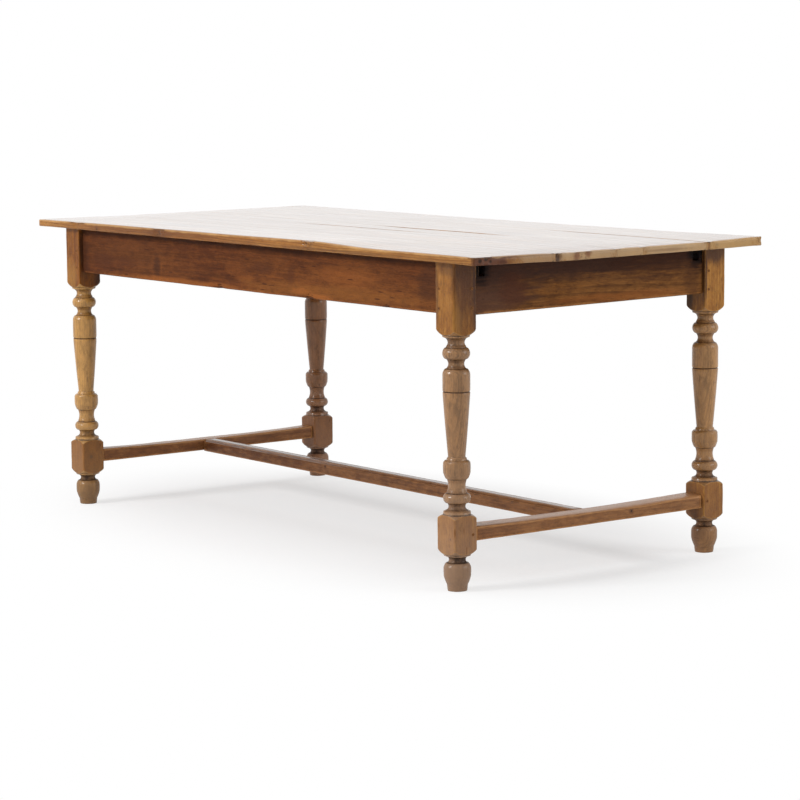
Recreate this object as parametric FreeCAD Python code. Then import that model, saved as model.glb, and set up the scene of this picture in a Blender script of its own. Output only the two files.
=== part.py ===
import FreeCAD, Part
import math
import os

# A farmhouse table: four lathe-turned legs, a pegged frame of aprons, a low H of foot rails
# and a top of five loose boards. Millimetres, +X along the table, +Y to its back, +Z up.
# The origin is on the floor under the middle of the top.

Vector = FreeCAD.Vector

# Top
table_length = 1830.0
board_thickness = 18.0
front_board_width = 232.0
front_inner_board_width = 180.0
middle_strip_width = 78.0
back_inner_board_width = 197.0
back_board_width = 177.0
seam_gap = 0.6
top_corner_radius = 7.0
end_overhang = 99.0
side_overhang = 25.0

# Warp of the two outer boards along their outer edges: a place as a share of the length from
# the middle, and a rise as a share of the thickness.
front_edge_warp_shares = ((-0.5, 0.0), (-0.25, 0.12), (0.0, 0.19), (0.17, 0.3), (0.31, -0.04), (0.5, 0.0))
back_edge_warp_shares = ((-0.5, 0.0), (0.0, -0.05), (0.3, 0.03), (0.5, 0.2))
straight_edge_shares = ((-0.5, 0.0), (0.5, 0.0))

# Legs: one square blank each, turned between the blocks
leg_square = 64.0
leg_arris_ease = 1.3
turning_radius = 31.0
neck_radius = 19.0
high_neck_radius = 18.0
cove_radius = 19.6
taper_foot_radius = 19.6
fillet_radius = 22.8
ring_edge_radius = 25.0
pad_floor_radius = 22.2
pad_head_radius = 23.6
shoulder_swell = 1.6
taper_swell = 0.4

# Turned lengths of the leg, from the floor up
pad_length = 14.5
bulb_rise_length = 21.0
bulb_band_length = 15.5
bulb_dome_length = 12.5
ankle_length = 14.0
flare_length = 2.0
lip_length = 3.0
lower_block_foot_shoulder = 12.0
lower_block_length = 68.0
lower_block_head_shoulder = 9.0
collar_length = 7.5
low_neck_length = 16.0
low_ring_length = 22.0
fillet_length = 2.5
cove_length = 29.5
middle_ring_rise_length = 16.0
middle_ring_band_length = 19.0
middle_ring_dome_length = 7.0
taper_fillet_length = 4.0
taper_foot_length = 3.0
taper_length = 140.5
vase_length = 48.0
vase_dome_length = 12.5
high_neck_length = 21.5
high_ring_length = 25.0
top_neck_length = 19.0
top_lip_length = 4.0
upper_block_shoulder = 13.0
block_below_apron = 26.0
scribed_line_width = 2.4
scribed_line_depth = 1.3

# Where the middle point of a curve lies, as a share of its length
rise_share = 0.4
dome_share = 0.6
high_neck_share = 0.55

# The front right leg was turned a little differently from the other three
odd_leg_line_rise = 4.5
odd_leg_upper_drop = 5.5

# Aprons
apron_height = 118.0
apron_thickness = 22.0
long_apron_setback = 11.5
end_apron_setback = 8.5
apron_worn_arris = 3.0
right_apron_fall = 6.0

# Notches in the end aprons, for the arms of a slip-on leaf
arm_notch_width = 17.0
arm_notch_depth = 35.0
arm_notch_from_leg = 13.0

# Foot rails
end_rail_width = 50.0
end_rail_height = 34.0
end_rail_setback = 6.0
end_rail_wear = 4.0
end_rail_round = 3.0
middle_rail_width = 44.0
middle_rail_height = 32.0
middle_rail_chamfer = 6.0
rail_drop_in_block = 1.0

# Mortises, tenons and pegs
joint_clearance = 0.15
apron_tenon_thickness = 10.0
apron_tenon_length = 35.0
apron_tenon_foot_margin = 4.0
apron_tenon_haunch = 42.0
end_rail_tenon_width = 36.0
end_rail_tenon_height = 16.0
end_rail_tenon_length = 32.0
middle_rail_tenon_width = 24.0
middle_rail_tenon_height = 14.0
middle_rail_tenon_length = 32.0
peg_radius = 3.5
peg_proud = 0.8
peg_from_shoulder = 12.0
apron_peg_above_tenon_foot = 10.5
apron_peg_below_tenon_head = 18.0
apron_peg_length = 40.0
rail_peg_length = 52.0
middle_rail_peg_length = 26.0

# Cross bearers under the boards
bearer_width = 45.0
bearer_height = 84.0
bearer_offset = 330.0
bearer_housing_depth = 8.0

# Screws up through the bearers
screw_length = 39.0
screw_grip = 26.0
screw_shank_radius = 2.4
screw_head_radius = 4.6
screw_head_height = 3.0
screw_bore_radius = 6.0
screw_clearance = 0.2

# Glue blocks between the aprons and the boards
glue_block_length = 70.0
glue_block_side = 28.0
glue_block_chamfer = 10.0
glue_block_spacing = 560.0
end_glue_block_spacing = 150.0

overrun = 5.0

# Worked out from the sizes above
board_widths = (
    front_board_width, front_inner_board_width, middle_strip_width,
    back_inner_board_width, back_board_width,
)
table_width = sum(board_widths)
leg_x = table_length / 2 - end_overhang - leg_square / 2
leg_y = table_width / 2 - side_overhang - leg_square / 2
inner_leg_x = leg_x - leg_square / 2
inner_leg_y = leg_y - leg_square / 2
upper_block_length = apron_height + block_below_apron
lower_block_foot = (
    pad_length + bulb_rise_length + bulb_band_length + bulb_dome_length + ankle_length
    + flare_length + lip_length + lower_block_foot_shoulder
)
leg_height = (
    lower_block_foot + lower_block_length + lower_block_head_shoulder + collar_length + flare_length
    + low_neck_length + low_ring_length + fillet_length + cove_length
    + middle_ring_rise_length + middle_ring_band_length + middle_ring_dome_length
    + taper_fillet_length + taper_foot_length + taper_length + vase_length + vase_dome_length
    + high_neck_length + high_ring_length + fillet_length + top_neck_length + flare_length
    + top_lip_length + upper_block_shoulder + upper_block_length
)
apron_foot = leg_height - apron_height
apron_tenon_foot = apron_foot + apron_tenon_foot_margin
apron_tenon_head = leg_height - apron_tenon_haunch
apron_peg_heights = (
    apron_tenon_foot + apron_peg_above_tenon_foot,
    apron_tenon_head - apron_peg_below_tenon_head,
)
long_apron_y = leg_y + leg_square / 2 - long_apron_setback - apron_thickness / 2
end_apron_x = leg_x + leg_square / 2 - end_apron_setback - apron_thickness / 2
inner_apron_y = long_apron_y - apron_thickness / 2
inner_apron_x = end_apron_x - apron_thickness / 2
arm_notch_y = inner_leg_y - arm_notch_from_leg - arm_notch_width / 2
rail_height = lower_block_foot + lower_block_length / 2 - rail_drop_in_block
end_rail_x = leg_x + leg_square / 2 - end_rail_setback - end_rail_width / 2
inner_rail_x = end_rail_x - end_rail_width / 2
end_rail_foot = rail_height - end_rail_height / 2
middle_rail_head = end_rail_foot + end_rail_height - end_rail_wear
middle_rail_centre = middle_rail_head - middle_rail_height / 2

sides = (-1, 1)


def block(centre, size):
    """A box by its centre and its full sizes."""
    corner = centre - size / 2
    return Part.makeBox(size.x, size.y, size.z, corner)


def rod(start, direction, radius, length):
    """A round rod from its start point along a unit direction."""
    return Part.makeCylinder(radius, length, start, direction)


def prism(points, sweep):
    """A closed outline of points, swept along a vector."""
    outline = Part.makePolygon(list(points) + [points[0]])
    return Part.Face(outline).extrude(sweep)


def save(name, solids):
    """Write one node: a single solid, or a group of separate ones."""
    shape = solids[0] if len(solids) == 1 else Part.makeCompound(solids)
    shape.exportStep("parts/" + name + ".step")
    print(name, len(solids), "solids, volume", round(sum(solid.Volume for solid in solids)))


class Turning:
    """The outline of a turned piece, drawn from the floor up as a radius at each height."""

    def __init__(self):
        self.edges = []
        self.here = Vector(0, 0, 0)

    def line(self, there):
        self.edges.append(Part.makeLine(self.here, there))
        self.here = there

    def step(self, radius):
        """A flat shoulder, in or out, at this height."""
        self.line(Vector(radius, 0, self.here.z))

    def straight(self, length, radius):
        """A plain or tapered stretch up to this radius."""
        self.line(Vector(radius, 0, self.here.z + length))

    def curve(self, length, middle_radius, radius, middle_share=0.5):
        """A bead, cove or swell: an arc through a middle radius."""
        middle = Vector(middle_radius, 0, self.here.z + length * middle_share)
        there = Vector(radius, 0, self.here.z + length)
        self.edges.append(Part.Arc(self.here, middle, there).toShape())
        self.here = there

    def solid(self):
        """Close the outline along the lathe's axis and spin it round."""
        self.step(0)
        self.line(Vector(0, 0, 0))
        return Part.Face(Part.Wire(self.edges)).revolve(Vector(0, 0, 0), Vector(0, 0, 1), 360)


def turned_outline(line_rise, upper_drop):
    """The lathe's cut for one leg. Where it clears the blank's corners the leg stays square."""
    corner_radius = leg_square / math.sqrt(2)
    clear_radius = corner_radius + overrun
    shoulder_middle = (corner_radius + turning_radius) / 2 + shoulder_swell
    dome_middle = (turning_radius + ring_edge_radius + shoulder_swell) / 2
    turning = Turning()

    # foot: a pad, a bulb that swells up from it, and a thin ankle below the lower block
    turning.step(pad_floor_radius)
    turning.straight(pad_length, pad_head_radius)
    turning.curve(bulb_rise_length, (pad_head_radius + turning_radius) / 2, turning_radius, rise_share)
    turning.straight(bulb_band_length, turning_radius)
    turning.curve(bulb_dome_length, dome_middle, ring_edge_radius, dome_share)
    turning.step(fillet_radius)
    turning.curve(ankle_length, neck_radius, ring_edge_radius)
    turning.straight(flare_length, turning_radius)
    turning.straight(lip_length, turning_radius)

    # lower block, square between rounded shoulders
    turning.curve(lower_block_foot_shoulder, shoulder_middle, corner_radius)
    turning.step(clear_radius)
    turning.straight(lower_block_length, clear_radius)
    turning.step(corner_radius)
    turning.curve(lower_block_head_shoulder, shoulder_middle, turning_radius)

    # collar, neck, low ring and cove
    turning.straight(collar_length, turning_radius)
    turning.straight(flare_length, ring_edge_radius)
    turning.curve(low_neck_length, neck_radius, fillet_radius)
    turning.step(ring_edge_radius)
    turning.curve(low_ring_length, turning_radius, ring_edge_radius)
    turning.step(fillet_radius)
    turning.straight(fillet_length, fillet_radius)
    turning.curve(cove_length, cove_radius, fillet_radius)

    # middle ring: a slow rise, a band and a quick round
    turning.step(ring_edge_radius)
    ring_rise_middle = (ring_edge_radius + turning_radius) / 2
    turning.curve(middle_ring_rise_length, ring_rise_middle, turning_radius, rise_share)
    turning.straight(middle_ring_band_length, turning_radius)
    turning.curve(middle_ring_dome_length, dome_middle, ring_edge_radius, dome_share)
    turning.step(fillet_radius)
    turning.straight(taper_fillet_length, fillet_radius)

    # long taper up to a scribed line, then the vase above it
    turning.straight(taper_foot_length, taper_foot_radius)
    taper_middle = (taper_foot_radius + turning_radius) / 2 + taper_swell
    turning.curve(taper_length + line_rise - scribed_line_width / 2, taper_middle, turning_radius)
    turning.straight(scribed_line_width / 2, turning_radius - scribed_line_depth)
    turning.straight(scribed_line_width / 2, turning_radius)
    turning.straight(vase_length - line_rise - upper_drop - scribed_line_width / 2, turning_radius)
    turning.curve(vase_dome_length, dome_middle, ring_edge_radius, dome_share)

    # high neck, high ring, top neck and the shoulder of the upper block
    turning.step(fillet_radius)
    turning.curve(high_neck_length, high_neck_radius, fillet_radius, high_neck_share)
    turning.step(ring_edge_radius)
    turning.curve(high_ring_length, turning_radius, ring_edge_radius)
    turning.step(fillet_radius)
    turning.straight(fillet_length, fillet_radius)
    turning.curve(top_neck_length, neck_radius, ring_edge_radius)
    turning.straight(flare_length, turning_radius)
    turning.straight(top_lip_length, turning_radius)
    turning.curve(upper_block_shoulder, shoulder_middle, corner_radius)
    turning.step(clear_radius)
    turning.straight(upper_block_length + upper_drop, clear_radius)
    return turning.solid()


def square_blank():
    """The leg's sawn blank, its four long arrises eased."""
    half = leg_square / 2
    eased = half - leg_arris_ease
    corners = (
        (half, eased), (eased, half), (-eased, half), (-half, eased),
        (-half, -eased), (-eased, -half), (eased, -half), (half, -eased),
    )
    return prism([Vector(x, y, 0) for x, y in corners], Vector(0, 0, leg_height))


def long_apron_tenon(side_x, side_y, slack):
    """The tenon of a long apron in one leg, or its mortise when given slack."""
    length = apron_tenon_length + slack
    height = apron_tenon_head - apron_tenon_foot + 2 * slack
    middle = (apron_tenon_foot + apron_tenon_head) / 2
    centre = Vector(side_x * (inner_leg_x + length / 2), side_y * long_apron_y, middle)
    size = Vector(length, apron_tenon_thickness + 2 * slack, height)
    return block(centre, size)


def end_apron_tenon(side_x, side_y, slack):
    """The tenon of an end apron in one leg, or its mortise when given slack."""
    length = apron_tenon_length + slack
    height = apron_tenon_head - apron_tenon_foot + 2 * slack
    middle = (apron_tenon_foot + apron_tenon_head) / 2
    centre = Vector(side_x * end_apron_x, side_y * (inner_leg_y + length / 2), middle)
    size = Vector(apron_tenon_thickness + 2 * slack, length, height)
    return block(centre, size)


def end_rail_tenon(side_x, side_y, slack):
    """The tenon of an end rail in one leg, or its mortise when given slack."""
    length = end_rail_tenon_length + slack
    centre = Vector(side_x * end_rail_x, side_y * (inner_leg_y + length / 2), rail_height)
    size = Vector(end_rail_tenon_width + 2 * slack, length, end_rail_tenon_height + 2 * slack)
    return block(centre, size)


def middle_rail_tenon(side_x, slack):
    """The tenon of the middle rail in one end rail, or its mortise when given slack."""
    length = middle_rail_tenon_length + slack
    centre = Vector(side_x * (inner_rail_x + length / 2), 0, middle_rail_centre)
    size = Vector(length, middle_rail_tenon_width + 2 * slack, middle_rail_tenon_height + 2 * slack)
    return block(centre, size)


def apron_pegs(side_x, side_y, slack):
    """Two pegs through each apron tenon of one leg, or their holes when given slack."""
    radius = peg_radius + slack
    length = apron_peg_length + peg_proud + slack
    face_x = side_x * (leg_x + leg_square / 2 + peg_proud)
    face_y = side_y * (leg_y + leg_square / 2 + peg_proud)
    beside_x = side_x * (inner_leg_x + peg_from_shoulder)
    beside_y = side_y * (inner_leg_y + peg_from_shoulder)
    pegs = []
    for height in apron_peg_heights:
        pegs.append(rod(Vector(beside_x, face_y, height), Vector(0, -side_y, 0), radius, length))
        pegs.append(rod(Vector(face_x, beside_y, height), Vector(-side_x, 0, 0), radius, length))
    return pegs


def rail_peg(side_x, side_y, slack):
    """The peg through an end rail's tenon, driven from the leg's outer face."""
    face_x = side_x * (leg_x + leg_square / 2 + peg_proud)
    start = Vector(face_x, side_y * (inner_leg_y + peg_from_shoulder), rail_height)
    return rod(start, Vector(-side_x, 0, 0), peg_radius + slack, rail_peg_length + slack)


def middle_rail_peg(side_x, slack):
    """The peg through the middle rail's tenon, driven up from under the end rail."""
    start = Vector(side_x * (inner_rail_x + peg_from_shoulder), 0, end_rail_foot - peg_proud)
    return rod(start, Vector(0, 0, 1), peg_radius + slack, middle_rail_peg_length + slack)


def leg(side_x, side_y):
    """One leg: the blank, the lathe's cut, three mortises and five peg holes."""
    odd = side_x > 0 and side_y < 0
    line_rise = odd_leg_line_rise if odd else 0
    upper_drop = odd_leg_upper_drop if odd else 0
    shape = square_blank().common(turned_outline(line_rise, upper_drop))
    shape.translate(Vector(side_x * leg_x, side_y * leg_y, 0))
    cuts = [
        long_apron_tenon(side_x, side_y, joint_clearance),
        end_apron_tenon(side_x, side_y, joint_clearance),
        end_rail_tenon(side_x, side_y, joint_clearance),
        rail_peg(side_x, side_y, joint_clearance),
    ]
    return shape.cut(cuts + apron_pegs(side_x, side_y, joint_clearance)).Solids


def apron_section(outer_side):
    """The end grain of an apron: upright, its lower outer arris worn off."""
    half = apron_thickness / 2
    return (
        (-half * outer_side, 0),
        ((half - apron_worn_arris) * outer_side, 0),
        (half * outer_side, apron_worn_arris),
        (half * outer_side, apron_height),
        (-half * outer_side, apron_height),
    )


def bearer_box(side_x, slack):
    """A cross bearer's whole bar, or its housings when given slack."""
    length = 2 * (inner_apron_y + bearer_housing_depth) + 2 * slack
    centre = Vector(side_x * bearer_offset, 0, leg_height - bearer_height / 2)
    return block(centre, Vector(bearer_width + 2 * slack, length, bearer_height + 2 * slack))


def long_apron(side_y):
    """The front or back apron, between two legs, housed for the bearers on its inner face."""
    place = Vector(-inner_leg_x, side_y * long_apron_y, apron_foot)
    section = [place + Vector(0, y, z) for y, z in apron_section(side_y)]
    shape = prism(section, Vector(2 * inner_leg_x, 0, 0))
    for side_x in sides:
        shape = shape.fuse(long_apron_tenon(side_x, side_y, 0))
    cuts = [bearer_box(side_x, joint_clearance) for side_x in sides]
    for side_x in sides:
        cuts += apron_pegs(side_x, side_y, joint_clearance)
    return shape.cut(cuts).Solids


def arm_way(side_x, side_y, reach):
    """The clear way of a leaf's arm under the top, from the end apron inward by a reach."""
    outer_x = leg_x + leg_square / 2
    centre = Vector(side_x * (outer_x - reach / 2), side_y * arm_notch_y, leg_height)
    size = Vector(reach, arm_notch_width, 2 * arm_notch_depth)
    return block(centre, size)


def end_apron(side_x):
    """The left or right apron, notched at both upper corners. The right one falls to the front."""
    fall = right_apron_fall / 2 if side_x > 0 else 0
    inner_x = side_x * inner_apron_x
    shape = prism(
        [
            Vector(inner_x, -inner_leg_y, apron_foot - fall),
            Vector(inner_x, inner_leg_y, apron_foot + fall),
            Vector(inner_x, inner_leg_y, leg_height),
            Vector(inner_x, -inner_leg_y, leg_height),
        ],
        Vector(side_x * apron_thickness, 0, 0),
    )
    low = apron_foot + apron_worn_arris
    middles = [(edge, edge.CenterOfMass) for edge in shape.Edges]
    worn = [edge for edge, middle in middles if middle.x * side_x > end_apron_x and middle.z < low]
    shape = shape.makeChamfer(apron_worn_arris, worn)
    for side_y in sides:
        shape = shape.fuse(end_apron_tenon(side_x, side_y, 0))
    cuts = [arm_way(side_x, side_y, 2 * leg_square) for side_y in sides]
    for side_y in sides:
        cuts += apron_pegs(side_x, side_y, joint_clearance)
    return shape.cut(cuts).Solids


def end_rail(side_x):
    """A left or right foot rail, its top worn hollow by feet, its upper arrises rounded."""
    half = end_rail_width / 2
    foot = end_rail_foot
    head = end_rail_foot + end_rail_height
    outline = [
        Part.makeLine(Vector(-half, -inner_leg_y, foot), Vector(-half, inner_leg_y, foot)),
        Part.makeLine(Vector(-half, inner_leg_y, foot), Vector(-half, inner_leg_y, head)),
        Part.Arc(
            Vector(-half, inner_leg_y, head),
            Vector(-half, 0, head - end_rail_wear),
            Vector(-half, -inner_leg_y, head),
        ).toShape(),
        Part.makeLine(Vector(-half, -inner_leg_y, head), Vector(-half, -inner_leg_y, foot)),
    ]
    shape = Part.Face(Part.Wire(outline)).extrude(Vector(end_rail_width, 0, 0))
    worn = [edge for edge in shape.Edges if isinstance(edge.Curve, Part.Circle)]
    shape = shape.makeFillet(end_rail_round, worn)
    shape.translate(Vector(side_x * end_rail_x, 0, 0))
    for side_y in sides:
        shape = shape.fuse(end_rail_tenon(side_x, side_y, 0))
    cuts = [middle_rail_tenon(side_x, joint_clearance), middle_rail_peg(side_x, joint_clearance)]
    cuts += [rail_peg(side_x, side_y, joint_clearance) for side_y in sides]
    return shape.cut(cuts).Solids


def middle_rail():
    """The long foot rail, its upper arrises chamfered, tenoned into both end rails."""
    half = middle_rail_width / 2
    foot = middle_rail_head - middle_rail_height
    head = middle_rail_head
    section = (
        (-half, foot), (half, foot), (half, head - middle_rail_chamfer), (half - middle_rail_chamfer, head),
        (middle_rail_chamfer - half, head), (-half, head - middle_rail_chamfer),
    )
    shape = prism([Vector(-inner_rail_x, y, z) for y, z in section], Vector(2 * inner_rail_x, 0, 0))
    for side_x in sides:
        shape = shape.fuse(middle_rail_tenon(side_x, 0))
    return shape.cut([middle_rail_peg(side_x, joint_clearance) for side_x in sides]).Solids


def board_edges():
    """The front and back edge of each board, from the front of the table."""
    edges = [-table_width / 2]
    for width in board_widths:
        edges.append(edges[-1] + width)
    return list(zip(edges[:-1], edges[1:]))


def screw_rows():
    """Where each board is screwed: on its middle line, or between its seam and the leaf's arm."""
    arm_side = arm_notch_y - arm_notch_width / 2
    rows = [(front + back) / 2 for front, back in board_edges()]
    rows[0] = (board_edges()[0][1] - arm_side) / 2
    rows[-1] = (board_edges()[-1][0] + arm_side) / 2
    return rows


def bearer_screw(side_x, row):
    """One screw from the bearer into a board: shank and countersunk head on one axis."""
    turning = Turning()
    turning.step(screw_head_radius)
    turning.straight(screw_head_height, screw_shank_radius)
    turning.straight(screw_length - screw_head_height, screw_shank_radius)
    shape = turning.solid()
    shape.translate(Vector(side_x * bearer_offset, row, leg_height - screw_grip))
    return shape


def screw_bore(side_x, row):
    """The room for one screw: a wide bore up to the head, then a close hole along the shank."""
    wide = bearer_height - screw_grip + screw_head_height + overrun
    narrow = screw_length + screw_clearance
    foot = Vector(side_x * bearer_offset, row, leg_height - bearer_height - overrun)
    seat = Vector(side_x * bearer_offset, row, leg_height - screw_grip)
    cut = rod(foot, Vector(0, 0, 1), screw_bore_radius, wide)
    return cut.fuse(rod(seat, Vector(0, 0, 1), screw_shank_radius + screw_clearance, narrow))


def bearer(side_x):
    """A cross bearer, notched for the leaf's arms and bored for the screws."""
    cuts = [screw_bore(side_x, row) for row in screw_rows()]
    reach = leg_x + leg_square / 2 - bearer_offset + bearer_width
    cuts += [arm_way(side_x, side_y, reach) for side_y in sides]
    return bearer_box(side_x, 0).cut(cuts).Solids


def board_outline(place_y, warp_shares):
    """The long side of a board as a closed wire: straight below, straight or warped above."""
    left, right = [Vector(side * table_length / 2, place_y, leg_height) for side in sides]
    crest = [
        Vector(share * table_length, place_y, leg_height + board_thickness * (1 + rise))
        for share, rise in reversed(warp_shares or straight_edge_shares)
    ]
    upper = Part.makeLine(crest[0], crest[-1])
    if warp_shares:
        warp = Part.BSplineCurve()
        warp.interpolate(crest)
        upper = warp.toShape()
    foot = Part.makeLine(left, right)
    ends = (Part.makeLine(right, crest[0]), Part.makeLine(crest[-1], left))
    return Part.Wire([foot, ends[0], upper, ends[1]])


def top_board(front, back, front_warp_shares, back_warp_shares):
    """One board between two lines, its upper face ruled from side to side, its outer corners rounded."""
    front_edge = front if front_warp_shares else front + seam_gap / 2
    back_edge = back if back_warp_shares else back - seam_gap / 2
    outlines = [board_outline(front_edge, front_warp_shares), board_outline(back_edge, back_warp_shares)]
    shape = Part.makeLoft(outlines, True, True)
    outer_edges = [place for place, warp in ((front, front_warp_shares), (back, back_warp_shares)) if warp]
    corners = [
        edge for edge in shape.Edges
        if edge.Length < 2 * board_thickness and edge.CenterOfMass.y in outer_edges
    ]
    if corners:
        shape = shape.makeFillet(top_corner_radius, corners)
    holes = [screw_bore(side_x, row) for side_x in sides for row in screw_rows()]
    return shape.cut(holes).Solids


def glue_block(place, along_x, inward):
    """A rubbed block in the corner of an apron and the boards, its free arris cut off."""
    side = glue_block_side
    free = side - glue_block_chamfer
    section = ((0, 0), (0, -side), (free, -side), (side, -free), (side, 0))
    half = glue_block_length / 2
    if along_x:
        points = [place + Vector(-half, inward * across, down) for across, down in section]
        return prism(points, Vector(glue_block_length, 0, 0))
    points = [place + Vector(inward * across, -half, down) for across, down in section]
    return prism(points, Vector(0, glue_block_length, 0))


def glue_blocks():
    """Three blocks along each long apron and two along each end apron."""
    blocks = []
    for side in sides:
        for step in (-1, 0, 1):
            place = Vector(step * glue_block_spacing, side * inner_apron_y, leg_height)
            blocks.append(glue_block(place, True, -side))
        for step in sides:
            place = Vector(side * inner_apron_x, step * end_glue_block_spacing, leg_height)
            blocks.append(glue_block(place, False, -side))
    return blocks


def build():
    """Make every piece and write it under its own name."""
    os.makedirs("parts", exist_ok=True)
    corners = {
        "leg_front_left": (-1, -1), "leg_front_right": (1, -1),
        "leg_back_left": (-1, 1), "leg_back_right": (1, 1),
    }
    for name, (side_x, side_y) in corners.items():
        save(name, leg(side_x, side_y))
    save("apron_front", long_apron(-1))
    save("apron_back", long_apron(1))
    save("apron_left", end_apron(-1))
    save("apron_right", end_apron(1))
    save("rail_left", end_rail(-1))
    save("rail_right", end_rail(1))
    save("rail_middle", middle_rail())
    save("bearer_left", bearer(-1))
    save("bearer_right", bearer(1))

    names = (
        "top_board_front", "top_board_front_inner", "top_strip_middle",
        "top_board_back_inner", "top_board_back",
    )
    front_warps = (front_edge_warp_shares, None, None, None, None)
    back_warps = (None, None, None, None, back_edge_warp_shares)
    for name, (front, back), front_warp, back_warp in zip(names, board_edges(), front_warps, back_warps):
        save(name, top_board(front, back, front_warp, back_warp))

    pegs_by_leg = [apron_pegs(side_x, side_y, 0) for side_x, side_y in corners.values()]
    save("apron_pegs", [peg for pegs in pegs_by_leg for peg in pegs])
    rail_pegs = [rail_peg(side_x, side_y, 0) for side_x, side_y in corners.values()]
    save("rail_pegs", rail_pegs + [middle_rail_peg(side_x, 0) for side_x in sides])
    save("glue_blocks", glue_blocks())
    save("bearer_screws", [bearer_screw(side_x, row) for side_x in sides for row in screw_rows()])
    print("leg height", leg_height, "rail height", rail_height, "leg centres", leg_x, leg_y)


build()
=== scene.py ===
# %% [markdown]
# A farmhouse table in waxed wood, dressed over its construction model. The construction gives every
# piece its place and size, in metres, with the origin on the floor under the middle of the top.
# This lesson builds the studio first, then the wood, then the pieces, one at a time.

# %% Load the construction
import math
import random
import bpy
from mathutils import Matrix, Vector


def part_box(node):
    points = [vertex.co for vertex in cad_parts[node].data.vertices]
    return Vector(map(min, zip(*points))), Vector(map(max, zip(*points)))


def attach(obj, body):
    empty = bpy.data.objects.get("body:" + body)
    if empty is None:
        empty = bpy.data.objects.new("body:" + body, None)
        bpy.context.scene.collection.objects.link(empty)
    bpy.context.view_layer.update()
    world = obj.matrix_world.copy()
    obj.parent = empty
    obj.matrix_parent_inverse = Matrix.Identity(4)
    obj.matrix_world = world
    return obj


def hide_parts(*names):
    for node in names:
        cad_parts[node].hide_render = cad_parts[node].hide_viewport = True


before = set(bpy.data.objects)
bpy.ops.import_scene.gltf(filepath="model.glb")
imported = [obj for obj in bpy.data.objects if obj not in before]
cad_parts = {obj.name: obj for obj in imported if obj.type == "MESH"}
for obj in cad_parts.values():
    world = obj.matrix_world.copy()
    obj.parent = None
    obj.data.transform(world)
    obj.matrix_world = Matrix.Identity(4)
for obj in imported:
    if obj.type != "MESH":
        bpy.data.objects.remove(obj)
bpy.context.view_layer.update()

from types import SimpleNamespace

import bmesh
import bpy
from mathutils import Matrix, Vector, noise

millimetre = 0.001
random.seed(7)
print("pieces in the construction:", len(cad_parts))

# %% [markdown]
# The camera stands where the photographer stood: off the right front corner, a little above the
# top, with a long lens. Its place was worked out from the feet, the rails and the corners of the
# top, so a piece at its real size lands where it is in the photograph.

# %% Camera
camera_place = Vector((5.6306, -4.2384, 1.2141))
camera_turn = math.radians(52.588)
camera_pitch = math.radians(-7.241)
camera_roll = math.radians(-0.459)
camera_lens = 127.8

ahead = Vector((
    -math.sin(camera_turn) * math.cos(camera_pitch),
    math.cos(camera_turn) * math.cos(camera_pitch),
    math.sin(camera_pitch),
))
beside = Vector((math.cos(camera_turn), math.sin(camera_turn), 0))
above = beside.cross(ahead)
right = math.cos(camera_roll) * beside + math.sin(camera_roll) * above
upward = math.cos(camera_roll) * above - math.sin(camera_roll) * beside

camera_data = bpy.data.cameras.new("camera")
camera_data.lens = camera_lens
camera_data.sensor_width = 36
camera_data.clip_end = 100
camera = bpy.data.objects.new("camera", camera_data)
bpy.context.scene.collection.objects.link(camera)
camera.location = camera_place
camera.rotation_euler = Matrix((right, upward, -ahead)).transposed().to_euler()
bpy.context.scene.camera = camera
bpy.context.scene.view_settings.view_transform = "Standard"
print("camera at", [round(value, 3) for value in camera_place])

# %% [markdown]
# Every finish here is a small network of nodes. Wiring it by hand takes many lines, so this helper
# adds one node per call and gives back its output, ready to be used by the next call.

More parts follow.
